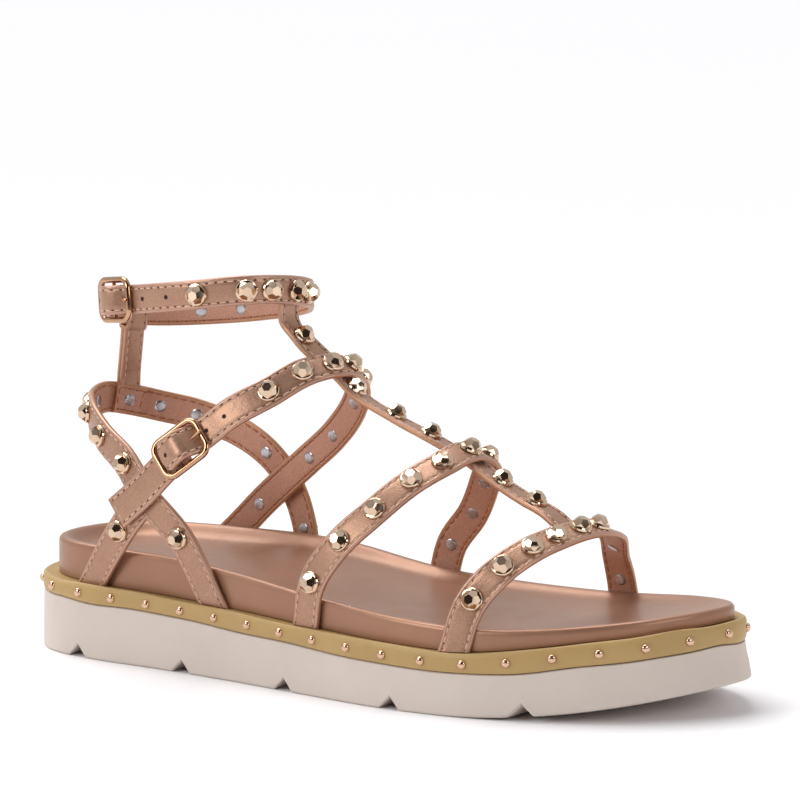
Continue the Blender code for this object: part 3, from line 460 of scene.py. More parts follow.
# Foil-coated leather, pressed smooth: satin, with the faint pull of the wrapping and a fine grain.
footbed_leather, tree, shader = new_finish("foil_coated_footbed_leather")
where = add_node(tree, "ShaderNodeTexCoord").outputs["Object"]
cloud = add_node(tree, "ShaderNodeTexNoise", {"Vector": where, "Scale": 22.0, "Detail": 5.0, "Roughness": 0.6})
tint = add_node(tree, "ShaderNodeMix", {0: cloud.outputs[0], 6: linear("#956a52"), 7: linear("#ab8167")}, data_type="RGBA")
grain = add_node(tree, "ShaderNodeTexVoronoi", {"Vector": where, "Scale": 1100.0})
pull = add_node(tree, "ShaderNodeTexNoise", {"Vector": where, "Scale": 140.0, "Detail": 3.0})
fine = add_node(tree, "ShaderNodeBump", {"Height": grain.outputs["Distance"], "Strength": 0.12, "Distance": 0.0001})
dents = add_node(tree, "ShaderNodeBump", {"Height": pull.outputs[0], "Strength": 0.12, "Distance": 0.0006, "Normal": fine.outputs[0]})
rough = add_node(tree, "ShaderNodeMapRange", {"Value": pull.outputs[0], "To Min": 0.3, "To Max": 0.44})
tree.links.new(tint.outputs[2], shader.inputs["Base Color"])
tree.links.new(dents.outputs["Normal"], shader.inputs["Normal"])
tree.links.new(rough.outputs[0], shader.inputs["Roughness"])
shader.inputs["Metallic"].default_value = 0.42

wall_inset = -ledge_width(outline(0, TURN)[:, 0])
wall = outline(wall_inset, TURN)
wall_top = rim_height(*wall.T)
wall_low = ledge_height(wall[:, 0]) + GAP
footbed_rings = [(wall, wall_low), (wall, wall_low + 0.4 * (wall_top - wall_low))]
for inward, drop in ((0.0, 2.4), (0.06, 1.5), (0.26, 0.8), (0.62, 0.35), (1.2, 0.08), (1.9, 0.0), (2.6, 0.03)):
    plan = outline(wall_inset - 0.001 * inward, TURN)
    footbed_rings.append((plan, rim_height(*plan.T) - 0.001 * drop))
for inward, depth in ((3.3, 0.06), (4.2, 0.2), (5.2, 0.4), (6.4, 0.6), (7.8, 0.78), (9.4, 0.9), (11.2, 0.97), (13.0, 1.0)):
    plan = outline(wall_inset - 0.001 * inward, TURN)
    footbed_rings.append((plan, rim_height(*plan.T) - 0.001 * 0.03 - depth * CUP_DEPTH * layer(4, plan[:, 0])))
footbed = build("footbed_wrapped", [stack_of_rings(footbed_rings)], [footbed_leather], sharp=60.0)
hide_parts("footbed")


# Straps: foil-coated leather over a lining, the edges turned, with a row of stitches along each side.
# They cross the foot from ledge to ledge; the T-strap runs up the middle under the others and is piped.
ANKLE_RISE = 0.102
STRAP_WIDTH = 0.0108
STRAP_THICKNESS = 0.0018
TAB_WIDTH = 0.0115
TEE_WIDTH = 0.0098
RISER_WIDTH = 0.0085
ANKLE_STRAP_WIDTH = 0.0098
SEAT_GAP = 0.0004
STITCH = 0.0031
ROUTES = {
    # along, across between the seat lines, rise
    "toe": (
        (0.720, -1.00, 0.000), (0.734, -0.93, 0.147), (0.765, -0.85, 0.252), (0.785, -0.66, 0.303),
        (0.795, -0.44, 0.323), (0.803, -0.18, 0.331), (0.805, 0.07, 0.324), (0.794, 0.37, 0.299),
        (0.773, 0.63, 0.252), (0.758, 0.81, 0.202), (0.752, 0.95, 0.105), (0.753, 1.00, 0.000),
    ),
    "vamp": (
        (0.489, -1.00, 0.000), (0.499, -0.99, 0.144), (0.534, -0.89, 0.283), (0.569, -0.70, 0.385),
        (0.599, -0.46, 0.477), (0.618, -0.19, 0.529), (0.626, 0.12, 0.555), (0.626, 0.35, 0.527),
        (0.612, 0.55, 0.474), (0.592, 0.72, 0.413), (0.560, 0.92, 0.296), (0.525, 1.02, 0.182),
        (0.511, 1.00, 0.000),
    ),
    "instep": (
        (0.138, 1.00, 0.000), (0.187, 1.01, 0.124), (0.223, 1.02, 0.215), (0.267, 1.01, 0.311),
        (0.310, 1.00, 0.404), (0.355, 0.94, 0.497), (0.406, 0.74, 0.629), (0.430, 0.53, 0.718),
        (0.440, 0.29, 0.773), (0.438, 0.00, 0.790), (0.416, -0.28, 0.770), (0.388, -0.58, 0.709),
        (0.343, -0.85, 0.629), (0.319, -0.94, 0.574), (0.287, -1.06, 0.502),
    ),
    "tab": ((0.189, -1.19, 0.266), (0.232, -1.18, 0.359), (0.263, -1.13, 0.442)),
    "heel": (
        (0.331, -1.00, 0.000), (0.282, -1.07, 0.208), (0.225, -1.10, 0.333), (0.185, -0.99, 0.422),
        (0.130, -0.81, 0.485), (0.086, -0.55, 0.533), (0.056, -0.13, 0.556), (0.050, 0.25, 0.562),
        (0.062, 0.60, 0.545), (0.089, 0.83, 0.519), (0.130, 0.95, 0.495), (0.230, 1.03, 0.390),
        (0.292, 1.06, 0.153), (0.303, 1.00, 0.000),
    ),
    "rear": ((0.127, -1.00, 0.000), (0.157, -1.04, 0.111), (0.189, -1.10, 0.213), (0.229, -1.14, 0.334)),
    "tee": (
        (0.790, -0.09, 0.327), (0.761, -0.05, 0.378), (0.723, 0.01, 0.416), (0.674, 0.07, 0.471),
        (0.626, 0.12, 0.538), (0.572, 0.12, 0.591), (0.521, 0.14, 0.636), (0.460, 0.12, 0.708),
        (0.438, 0.07, 0.765), (0.394, -0.05, 0.861),
    ),
}


def seat_lines(x):
    """Where the middle of a strap stands on the ledge, on the outer and on the inner side."""
    turn = np.degrees(np.arccos(1 - 2 * np.clip(np.asarray(x) / SOLE_LENGTH, 0, 1)))
    inset = ledge_width(x) - SEAT_GAP - STRAP_THICKNESS / 2
    return edge_across(turn) + inset, edge_across(-turn % 360) - inset


def route(rows):
    """Points of a strap table: x along the sole, y between the seat lines, z above the ledge."""
    along, across, rise = np.array(rows).T
    x = along * SOLE_LENGTH
    outer, inner = seat_lines(x)
    return np.stack([x, (outer + inner) / 2 + across * (inner - outer) / 2, ledge_height(x) + rise * ANKLE_RISE], axis=1)


def distance_along(points):
    return np.concatenate([[0], np.cumsum(np.linalg.norm(np.diff(points, axis=0), axis=1))])


def at(points, run, where):
    """Rows of points read at distances along them."""
    return np.stack([np.interp(where, run, points[:, k]) for k in range(points.shape[1])], axis=-1)


def smooth(points, step):
    """Even steps along the cubic through the points."""
    reach = distance_along(points)
    fine = np.linspace(0, reach[-1], 1200)
    curve = np.stack([hermite(reach, points[:, k], fine) for k in range(3)], axis=1)
    run = distance_along(curve)
    return at(curve, run, np.linspace(0, run[-1], max(3, int(round(run[-1] / step)) + 1)))


def foot_field(points):
    """Grows outwards from the middle of the foot: the sum of two powers, across and up, is an arch."""
    x, y, z = points.T
    outer, inner = seat_lines(x)
    side = (y - (outer + inner) / 2) / ((inner - outer) / 2)
    crown = hermite((0.31, 0.44, 0.63, 0.81), (1.05, 0.76, 0.55, 0.33), x / SOLE_LENGTH)
    lift = np.clip(z - ledge_height(x), 0, None) / (crown * ANKLE_RISE)
    return np.abs(side) ** 2.2 + lift**2.2


def heel_field(points):
    """Grows outwards from the leg: the squares of the share across and of the share behind the heel's middle."""
    x, y, _ = points.T
    centre = 0.183 * SOLE_LENGTH
    outer, inner = seat_lines(np.maximum(x, centre))
    side = (y - (outer + inner) / 2) / ((inner - outer) / 2)
    return side**2 + (np.minimum(x - centre, 0) / centre) ** 2


def outward(points, field):
    """Unit direction away from the foot: the field's slope, turning to the sole's outline near the ledge."""
    step = 1e-4
    slope = np.stack([field(points + step * axis) - field(points - step * axis) for axis in np.eye(3)], axis=1)
    slope /= np.linalg.norm(slope, axis=1)[:, None]
    x = points[:, 0]
    side = (points[:, 1] > 0).astype(int)
    rise = np.choose(side, seat_lines(x + step)) - np.choose(side, seat_lines(x - step))
    sign = 2 * side - 1
    plan = np.stack([-sign * rise / (2 * step), sign * np.ones_like(x), 0 * x], axis=1)
    plan /= np.linalg.norm(plan, axis=1)[:, None]
    above = (points[:, 2] - ledge_height(x)) / FOOTBED_HEIGHT
    share = np.clip((above - 1.0) / 1.2, 0, 1)[:, None]
    return plan * (1 - share) + slope * share


def frames(points, away, closed=False):
    """Tangent, width and outward directions at each point of a strap."""
    if closed:
        tangent = np.roll(points, -1, axis=0) - np.roll(points, 1, axis=0)
    else:
        tangent = np.gradient(points, axis=0)
    tangent /= np.linalg.norm(tangent, axis=1)[:, None]
    normal = away - (away * tangent).sum(axis=1)[:, None] * tangent
    normal /= np.linalg.norm(normal, axis=1)[:, None]
    return tangent, np.cross(tangent, normal), normal


def strap_section(width, thickness, piped):
    """Closed section: a crowned outer face with a stitch groove and a rolled edge, and a lining set in behind."""
    if piped:
        outer = ((0.0, -0.75), (0.06, -0.4), (0.28, -0.08), (0.7, 0.12), (1.15, -0.04), (1.38, -0.3), (1.55, -0.36), (1.75, -0.2), (2.1, -0.03), (3.2, 0.02))
    else:
        outer = ((0.0, -0.9), (0.03, -0.55), (0.2, -0.22), (0.55, -0.02), (1.0, 0.02), (1.3, -0.06), (1.5, -0.17), (1.72, -0.06), (2.1, 0.02), (3.2, 0.06))
    inner = ((0.05, 0.42), (0.28, 0.1), (0.6, 0.0), (1.05, 0.02), (1.25, 0.12), (1.5, 0.17), (1.75, 0.1), (3.2, 0.07))
    face = thickness / 2
    unit = 0.001 * thickness / STRAP_THICKNESS
    right = [(width / 2 - 0.001 * edge, face + unit * up) for edge, up in reversed(outer)]
    right += [(width / 2 - 0.001 * edge, -face + unit * up) for edge, up in inner]
    section = [(0.0, right[0][1])] + right + [(0.0, right[-1][1])] + [(-across, up) for across, up in reversed(right)]
    sides = len(section)
    slots = np.zeros(sides, int)
    slots[9:13] = 1
    slots[sides - 13:sides - 9] = 1
    slots[13:sides - 13] = 2
    return np.array(section), slots


def sweep(points, away, width=STRAP_WIDTH, thickness=STRAP_THICKNESS, piped=False, closed=False, seats=(False, False), taper=None):
    """Strap section carried along a path; a seated end is drawn back to the ledge line by line."""
    _, sideways, normal = frames(points, away, closed)
    section, slots = strap_section(width, thickness, piped)
    across = section[:, 0] * (np.ones(len(points)) if taper is None else taper)[:, None]
    grid = points[:, None] + across[..., None] * sideways[:, None] + section[:, 1][None, :, None] * normal[:, None]
    for end, seated in enumerate(seats):
        if seated:
            grid = grid[::-1] if end else grid
            grid = seat_on_ledge(grid)
            grid = grid[::-1] if end else grid
    grid = clear_of_wall(grid)
    rows, columns = grid.shape[:2]
    flat = grid.reshape(-1, 3)
    faces = [tuple(face) for face in grid_faces(rows, columns, ring_rows=closed)]
    finish = np.tile(slots, rows if closed else rows - 1)
    if not closed:
        faces += [tuple(range(columns))[::-1], tuple(range((rows - 1) * columns, rows * columns))]
        finish = np.append(finish, [1, 1])
    run = distance_along(points)
    maps = np.stack([
        np.broadcast_to(run[:, None], (rows, columns)),
        np.broadcast_to(width / 2 - np.abs(section[:, 0])[None], (rows, columns)),
    ], axis=-1).reshape(-1, 2) * 10.0
    return flat, outward_faces(flat, faces), finish, maps


def seat_on_ledge(grid):
    """Each line of the strap starts where it meets the ledge, and its first 15 mm are evened out from there."""
    above = grid[..., 2] - (ledge_height(grid[..., 0]) + 0.00025)
    run = distance_along(grid.mean(axis=1))
    moved = grid.copy()
    for k in range(grid.shape[1]):
        start = np.interp(0.0, above[:16, k], run[:16]) if above[0, k] < 0 else run[0]
        share = np.clip(run / 0.015, 0, 1)
        moved[:, k] = at(grid[:, k], run, np.where(run < 0.015, start + share * (0.015 - start), run))
    return moved


def clear_of_wall(grid):
    """Points below the footbed's rim are pushed out sideways, until they clear its wall."""
    x = grid[..., 0]
    turn = np.degrees(np.arccos(1 - 2 * np.clip(x / SOLE_LENGTH, 0, 1)))
    outer = edge_across(turn) + ledge_width(x) - 0.0002
    inner = edge_across(-turn % 360) - ledge_width(x) + 0.0002
    low = grid[..., 2] < rim_height(x, grid[..., 1]) - 0.0008
    pushed = np.where(grid[..., 1] < 0, np.minimum(grid[..., 1], outer), np.maximum(grid[..., 1], inner))
    out = grid.copy()
    out[..., 1] = np.where(low, pushed, grid[..., 1])
    return out


def lengthen(points, away, length):
    """Carries a strap straight on past its first point."""
    back = (points[0] - points[1]) / np.linalg.norm(points[0] - points[1])
    extra = points[0] + np.linspace(length, 0, 9)[:-1, None] * back
    return np.concatenate([extra, points]), np.concatenate([np.tile(away[:1], (8, 1)), away])


def lifted(points, away, spot, reach, height):
    """Bends a path outwards near a crossing: a raised cosine of the distance from it."""
    near = np.clip(np.linalg.norm(points - spot, axis=1) / reach, 0, 1)
    return points + (height * (0.5 + 0.5 * np.cos(np.pi * near)))[:, None] * away


# Ankle strap and its loop, and the buckles' seats: the strap climbs over the bar and its tip lies behind.
ANKLE_LENGTH = 0.082
ANKLE_WIDTH = 0.059
ANKLE_CENTRE = 0.2275
ANKLE_TURN = math.radians(-16.0)
ANKLE_HEIGHTS = (1.012, 0.984, 0.940, 0.900, 0.868, 0.854, 0.863, 0.899, 0.939, 0.966, 0.994, 1.016)
BUCKLE_LENGTH = 0.0200
BUCKLE_WIDTH = 0.0156
BUCKLE_CORNER = 0.0034
FRAME_WIRE = 0.00085
BAR_WIRE = 0.0007
PRONG_WIRE = 0.00055
BAR_ANGLE = math.radians(253.5)
TEE_ANGLE = math.radians(10.0)
FRONT_BAR_HEIGHT = STRAP_THICKNESS / 2 + GAP + FRAME_WIRE
BAR_HEIGHT = FRONT_BAR_HEIGHT + 0.00015
RING_RADIUS = BAR_WIRE + 0.0002 + PRONG_WIRE
HUMP_HEIGHT = BAR_HEIGHT + RING_RADIUS + PRONG_WIRE + 1.8 * GAP + STRAP_THICKNESS / 2
BAR_SPACING = BUCKLE_LENGTH / 2 - FRAME_WIRE
HUMP_REACH = BAR_SPACING - FRAME_WIRE
TIP_REACH = BAR_SPACING - 2.4 * FRAME_WIRE
FOLD_REACH = 0.0006
LOOP_PLAY = 0.0004
LOOP_THICKNESS = 0.0014
RISER_THICKNESS = 0.0030


def ankle_point(angle):
    """Middle of the ankle strap: an ellipse round the leg, turned in plan, at heights from a closed table."""
    angle = np.asarray(angle, float)
    forward = ANKLE_LENGTH / 2 * np.cos(angle)
    sideways = ANKLE_WIDTH / 2 * np.sin(angle)
    centre = ANKLE_CENTRE * SOLE_LENGTH
    x = centre + forward * math.cos(ANKLE_TURN) - sideways * math.sin(ANKLE_TURN)
    y = forward * math.sin(ANKLE_TURN) + sideways * math.cos(ANKLE_TURN)
    height = around(ANKLE_HEIGHTS, np.degrees(angle) / 30.0)
    return np.stack([x, y, float(ledge_height(centre)) + height * ANKLE_RISE], axis=-1)


def ankle_away(angle):
    angle = np.asarray(angle, float)
    forward = np.cos(angle) / ANKLE_LENGTH
    sideways = np.sin(angle) / ANKLE_WIDTH
    x = forward * math.cos(ANKLE_TURN) - sideways * math.sin(ANKLE_TURN)
    y = forward * math.sin(ANKLE_TURN) + sideways * math.cos(ANKLE_TURN)
    away = np.stack([x, y, 0 * x], axis=-1)
    return away / np.linalg.norm(away, axis=-1, keepdims=True)


def hump(distance):
    """Lift of a strap that climbs over the bar: a raised cosine ahead of it and a slow fall behind."""
    ahead = np.clip(distance / HUMP_REACH, 0, 1)
    behind = np.clip(-distance / TIP_REACH, 0, 1)
    return HUMP_HEIGHT * (0.5 + 0.5 * np.cos(np.pi * ahead)) * (1 - 0.55 * behind**2)


class Seat:
    """Place of a buckle on a strap: the bar's middle, with forward, sideways and outward directions."""

    def __init__(self, base, ahead, away):
        forward = ahead - base
        normal = away - away.dot(forward) / forward.dot(forward) * forward
        normal /= np.linalg.norm(normal)
        self.bar = base + normal * BAR_HEIGHT
        front = ahead + normal * FRONT_BAR_HEIGHT
        self.forward = (front - self.bar) / np.linalg.norm(front - self.bar)
        self.sideways = np.cross(self.forward, normal)
        self.sideways /= np.linalg.norm(self.sideways)
        self.normal = np.cross(self.sideways, self.forward)

    def points(self, forward, sideways, up):
        """Places given as arrays of distances forward, sideways and up from the bar's middle."""
        forward, sideways, up = np.broadcast_arrays(np.asarray(forward, float), sideways, up)
        return self.bar + forward[..., None] * self.forward + sideways[..., None] * self.sideways + up[..., None] * self.normal


def over_the_bar(points, away, ahead, seat, foot):
    """Lifts a strap, given from its bar onwards, over the bar, and adds the straight tip behind it."""
    tip = np.linspace(-TIP_REACH, 0, 13)[:-1]
    start = foot + tip[:, None] * seat.forward + hump(tip)[:, None] * seat.normal
    raised = points + hump(ahead)[:, None] * seat.normal
    settled = np.clip(ahead / HUMP_REACH, 0, 1)[:, None]
    turned_away = away * settled + seat.normal * (1 - settled)
    return np.concatenate([start, raised]), np.concatenate([np.tile(seat.normal, (12, 1)), turned_away])


STEP = 0.0010
paths = {}
for name, field in (("toe", foot_field), ("vamp", foot_field), ("heel", heel_field), ("rear", heel_field)):
    line = smooth(route(ROUTES[name]), STEP)
    paths[name] = (line, outward(line, field))

plain = smooth(route(ROUTES["instep"])[::-1], STEP)
run = distance_along(plain)
away = outward(plain, foot_field)
instep_seat = Seat(plain[0], at(plain, run, BAR_SPACING), away[0])
instep_foot = plain[0]
paths["instep"] = over_the_bar(plain, away, run, instep_seat, instep_foot)

tab = smooth(np.concatenate([route(ROUTES["tab"]), [instep_foot + FOLD_REACH * instep_seat.forward]]), STEP)
paths["tab"] = (tab, outward(tab, foot_field))

tee_top = ankle_point(TEE_ANGLE) - ankle_away(TEE_ANGLE) * (STRAP_THICKNESS + 3.5 * GAP)
tee_steps = np.array([[0, 0, -0.95], [0, 0, -0.3], [0, 0, 0.35]]) * STRAP_WIDTH
line = smooth(np.concatenate([route(ROUTES["tee"]), tee_top + tee_steps]), STEP)
share = np.clip(1 - (line[-1][2] - line[:, 2] - STRAP_WIDTH) / (2 * STRAP_WIDTH), 0, 1)[:, None]
paths["tee"] = (line, outward(line, foot_field) * (1 - share) + ankle_away(TEE_ANGLE) * share)

angle = np.linspace(BAR_ANGLE, BAR_ANGLE + 2.1 * math.pi, 1513)
lap = distance_along(ankle_point(angle))
lap_length = float(np.interp(BAR_ANGLE + 2 * math.pi, angle, lap))
run = np.linspace(0, lap_length + FOLD_REACH, int(lap_length / STEP))
angles = np.interp(run, lap, angle)
ankle_seat = Seat(ankle_point(BAR_ANGLE), ankle_point(float(np.interp(BAR_SPACING, lap, angle))), ankle_away(BAR_ANGLE))
paths["ankle"] = over_the_bar(ankle_point(angles), ankle_away(angles), run, ankle_seat, ankle_point(BAR_ANGLE))

# At the crossings one strap rides over another by a leather's thickness.
stud_paths = dict(paths)
side_crossing = np.array([0.066, 0.032, 0.055])
side_crossing = paths["heel"][0][np.argmin(np.linalg.norm(paths["heel"][0] - (side_crossing + (0.0034, 0, 0)), axis=1))]
vamp_crossing = paths["vamp"][0][np.argmin(np.linalg.norm(paths["vamp"][0] - route([(0.626, 0.12, 0.55)])[0], axis=1))]
toe_crossing = paths["tee"][0][0]
for name, spot, reach, height in (
    ("heel", side_crossing, 0.022, 0.0009),
    ("instep", side_crossing, 0.022, -0.0009),
    ("vamp", vamp_crossing, 0.016, 0.0003),
    ("tee", vamp_crossing, 0.016, -0.0006),
    ("toe", toe_crossing, 0.016, 0.0004),
    ("tee", toe_crossing, 0.016, -0.0014),
    ("rear", paths["rear"][0][-1], 0.014, -0.0012),
):
    line, away = paths[name]
    paths[name] = (lifted(line, away, spot, reach, height), away)


def rounded_tip(points, reach, half):
    """Width shares that round off a strap's first end: a quarter ellipse over the reach."""
    run = distance_along(points)
    inward = np.clip(run / reach, 0, 1)
    return 0.45 + 0.55 * np.sqrt(1 - (1 - inward) ** 2)


strap_shells = []
for name in ("tee", "toe", "vamp", "heel", "rear", "instep", "tab"):
    line, away = paths[name]
    seats = {"toe": (True, True), "vamp": (True, True), "heel": (True, True), "rear": (True, False), "instep": (False, True)}
    first, last = seats.get(name, (False, False))
    if first:
        line, away = lengthen(line, away, 0.007)
    if last:
        line, away = [part[::-1] for part in lengthen(line[::-1], away[::-1], 0.007)]
    width = {"tee": TEE_WIDTH, "tab": TAB_WIDTH}.get(name, STRAP_WIDTH)
    taper = rounded_tip(line, 0.003, width / 2) if name == "instep" else None
    strap_shells.append(sweep(line, away, width, piped=name == "tee", seats=(first, last), taper=taper))

# Riser: two straps back to back from inside the heel strap to a loop that the ankle strap runs through.
middle = ankle_point(math.pi)
riser_away = ankle_away(math.pi)
ankle_run = ankle_point(math.pi + 0.05) - ankle_point(math.pi - 0.05)
rise = np.cross(riser_away, ankle_run)
rise *= np.sign(rise[2]) / np.linalg.norm(rise)
deep = (STRAP_THICKNESS + LOOP_THICKNESS) / 2 + LOOP_PLAY
tall = ANKLE_STRAP_WIDTH / 2 + LOOP_PLAY + LOOP_THICKNESS / 2
corner_turn = np.radians(np.linspace(0, 90, 7)[None] + np.array([0, 90, 180, 270])[:, None]).ravel()
signs = np.repeat(np.array([(1, 1), (-1, 1), (-1, -1), (1, -1)]), 7, axis=0)
loop_out = 0.5 * deep * (signs[:, 0] + np.cos(corner_turn))
loop_up = signs[:, 1] * (tall - 0.5 * deep) + 0.5 * deep * np.sin(corner_turn)
loop = middle + loop_out[:, None] * riser_away + loop_up[:, None] * rise
strap_shells.append(sweep(loop, loop - middle, RISER_WIDTH, thickness=LOOP_THICKNESS, closed=True))
heel_line = paths["heel"][0]
foot_index = int(np.argmin(np.linalg.norm(heel_line[:, :2] - middle[:2], axis=1)))
heel_foot = heel_line[foot_index]
level = np.array([0, 0, STRAP_WIDTH])
inside = STRAP_THICKNESS * riser_away
riser_top = middle - rise * (tall - STRAP_THICKNESS * 0.2)
joint = heel_foot + 0.75 * level - 0.5 * inside
riser_knots = np.array([heel_foot - 0.3 * level - 0.4 * inside, heel_foot - 0.4 * inside, joint, (joint + riser_top) / 2, riser_top])
riser_line = smooth(riser_knots, STEP)
half_riser = RISER_THICKNESS / 4
for side in (1, -1):
    doubled = riser_line + side * (half_riser + 0.00003) * riser_away
    if side < 0:
        doubled = doubled[doubled[:, 2] > heel_foot[2] + 0.3 * STRAP_WIDTH]
    strap_shells.append(sweep(doubled, np.tile(side * riser_away, (len(doubled), 1)), RISER_WIDTH, thickness=2 * half_riser))
shown = riser_line[riser_line[:, 2] > heel_foot[2] + 0.5 * STRAP_WIDTH]
paths["riser"] = (shown - (half_riser + 0.00003) * riser_away, np.tile(-riser_away, (len(shown), 1)))
PATCH_THICKNESS = 0.0016
patch_rows = slice(foot_index - 6, foot_index + 7)
patch_away = paths["heel"][1][patch_rows]
paths["patch"] = (heel_line[patch_rows] - 0.00165 * patch_away, patch_away)
strap_shells.append(sweep(*paths["patch"], STRAP_WIDTH - 0.0004, thickness=PATCH_THICKNESS))


def tube(points, away, radius, sides, closed=False, taper=None):
    """Round wire along a path: a circle carried in the path's frames."""
    _, sideways, normal = frames(points, away, closed)
    turn = 2 * np.pi * np.arange(sides) / sides
    radii = radius * (np.ones(len(points)) if taper is None else taper)
    ring = np.cos(turn)[None, :, None] * sideways[:, None] + np.sin(turn)[None, :, None] * normal[:, None]
    flat = (points[:, None] + radii[:, None, None] * ring).reshape(-1, 3)
    faces = [tuple(face) for face in grid_faces(len(points), sides, ring_rows=closed)]
    if not closed:
        faces += [tuple(range(sides))[::-1], tuple(range((len(points) - 1) * sides, len(points) * sides))]
    return flat, outward_faces(flat, faces), 0, None


def folds(seat, width):
    """The strap's folded end: a sleeve round the bar on either side of the prong."""
    shells = []
    for low, high in ((-width / 2 + GAP, -0.0014), (0.0014, width / 2 - GAP)):
        line = seat.points(0.0, np.linspace(low, high, 6), 0.0)
        shells.append(tube(line, np.tile(seat.normal, (6, 1)), 0.0016, 20))
    return shells


strap_shells += folds(instep_seat, TAB_WIDTH)


def leather(name, dark, light, edge_tone_and_highlight, metallic, rough_low, rough_high, needle_hole_shade):
    """Foil-coated leather: clouded colour, a fine pebble, needle holes in rows filled with painted shade, and a band
    along both edges in the edge colour: the turned edge's own tone, and on the outer leather partly a painted highlight
    along the rolled edge.
    """
    made, tree, shader = new_finish(name)
    spots = add_node(tree, "ShaderNodeTexCoord")
    where = spots.outputs["Object"]
    cloud = add_node(tree, "ShaderNodeTexNoise", {"Vector": where, "Scale": 75.0, "Detail": 5.0, "Roughness": 0.62})
    tint = add_node(tree, "ShaderNodeMix", {0: cloud.outputs[0], 6: linear(dark), 7: linear(light)}, data_type="RGBA")
    flakes = add_node(tree, "ShaderNodeTexNoise", {"Vector": where, "Scale": 2400.0, "Detail": 1.0})
    sparkle = add_node(tree, "ShaderNodeMapRange", {"Value": flakes.outputs[0], "From Min": 0.35, "From Max": 0.7, "To Min": 0.86, "To Max": 1.16})
    tint = add_node(tree, "ShaderNodeMix", {0: 1.0, 6: tint.outputs[2], 7: sparkle.outputs[0]}, data_type="RGBA", blend_type="MULTIPLY")
    place = add_node(tree, "ShaderNodeSeparateXYZ", {0: spots.outputs["UV"]})
    beat = add_node(tree, "ShaderNodeMath", {0: place.outputs[0], 1: 1.0 / (10 * STITCH)}, operation="MULTIPLY")
    beat = add_node(tree, "ShaderNodeMath", {0: beat.outputs[0]}, operation="FRACT")
    beat = add_node(tree, "ShaderNodeMath", {0: beat.outputs[0], 1: 0.5}, operation="SUBTRACT")
    beat = add_node(tree, "ShaderNodeMath", {0: beat.outputs[0], 1: 10 * STITCH / 0.0052}, operation="MULTIPLY")
    row = add_node(tree, "ShaderNodeMath", {0: place.outputs[1], 1: 0.015}, operation="SUBTRACT")
    row = add_node(tree, "ShaderNodeMath", {0: row.outputs[0], 1: 1 / 0.0034}, operation="MULTIPLY")
    flat = add_node(tree, "ShaderNodeCombineXYZ", {0: beat.outputs[0], 1: row.outputs[0]})
    far = add_node(tree, "ShaderNodeVectorMath", {0: flat.outputs[0]}, operation="LENGTH")
    needle = add_node(tree, "ShaderNodeMapRange", {"Value": far.outputs["Value"], "From Min": 1.0, "From Max": 0.6})
    # Edge band within about 1.3 mm of each edge: the turned edge's own tone, and on the outer leather partly a painted
    # highlight along the rolled edge.
    margin = add_node(tree, "ShaderNodeMapRange", {"Value": place.outputs[1], "From Min": 0.013, "From Max": 0.006, "To Max": 0.55})
    edged = add_node(tree, "ShaderNodeMix", {0: margin.outputs[0], 6: tint.outputs[2], 7: linear(edge_tone_and_highlight)}, data_type="RGBA")
    # Needle holes darkened with the hole colour: painted shade in the holes.
    holed = add_node(tree, "ShaderNodeMix", {0: needle.outputs[0], 6: edged.outputs[2], 7: linear(needle_hole_shade)}, data_type="RGBA")
    grain = add_node(tree, "ShaderNodeTexVoronoi", {"Vector": where, "Scale": 1300.0})
    creases = add_node(tree, "ShaderNodeTexNoise", {"Vector": where, "Scale": 260.0, "Detail": 3.0})
    fine = add_node(tree, "ShaderNodeBump", {"Height": grain.outputs["Distance"], "Strength": 0.22, "Distance": 0.00012})
    soft = add_node(tree, "ShaderNodeBump", {"Height": creases.outputs[0], "Strength": 0.22, "Distance": 0.0005, "Normal": fine.outputs[0]})
    sunk = add_node(tree, "ShaderNodeBump", {"Height": needle.outputs[0], "Strength": 0.5, "Distance": 0.0003, "Normal": soft.outputs[0]}, invert=True)
    rough = add_node(tree, "ShaderNodeMapRange", {"Value": cloud.outputs[0], "To Min": rough_low, "To Max": rough_high})
    tree.links.new(holed.outputs[2], shader.inputs["Base Color"])
    tree.links.new(sunk.outputs["Normal"], shader.inputs["Normal"])
    tree.links.new(rough.outputs[0], shader.inputs["Roughness"])
    shader.inputs["Metallic"].default_value = metallic
    return made


# The fourth colour is the edge band, on this outer leather partly a painted highlight along the rolled edge.
# The last colour is the painted shade in the needle holes.
rose_leather = leather("rose_gold_foil_leather", "#a17863", "#b99278", "#c79d8b", 0.55, 0.30, 0.44, "#5b3527")
turned_edge = leather("turned_leather_edge", "#a8744f", "#c08c64", "#bd8f70", 0.45, 0.3, 0.45, "#a8744f")
lining = leather("rose_lining_leather", "#ba8870", "#d09e86", "#c98f5f", 0.2, 0.42, 0.6, "#7a4a34")
upper = build("upper_straps", strap_shells, [rose_leather, turned_edge, lining], sharp=75.0)
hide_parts("upper")

line, away = paths["ankle"]
ankle_shells = [sweep(line, away, ANKLE_STRAP_WIDTH, taper=rounded_tip(line, 0.003, ANKLE_STRAP_WIDTH / 2))]
ankle_strap = build("ankle_strap_leather", ankle_shells + folds(ankle_seat, ANKLE_STRAP_WIDTH), [rose_leather, turned_edge, lining], sharp=75.0)
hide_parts("ankle_strap")

# Stitches: waxed thread between the needle holes, along both edges of every strap, outside and in.
THREAD = 0.00028
capsule = turned([(0.35, -1.0), (0.8, -0.8), (1.0, -0.35), (1.0, 0.35), (0.8, 0.8), (0.35, 1.0)], 6)
capsule = (capsule[0][:, [2, 0, 1]], capsule[1])


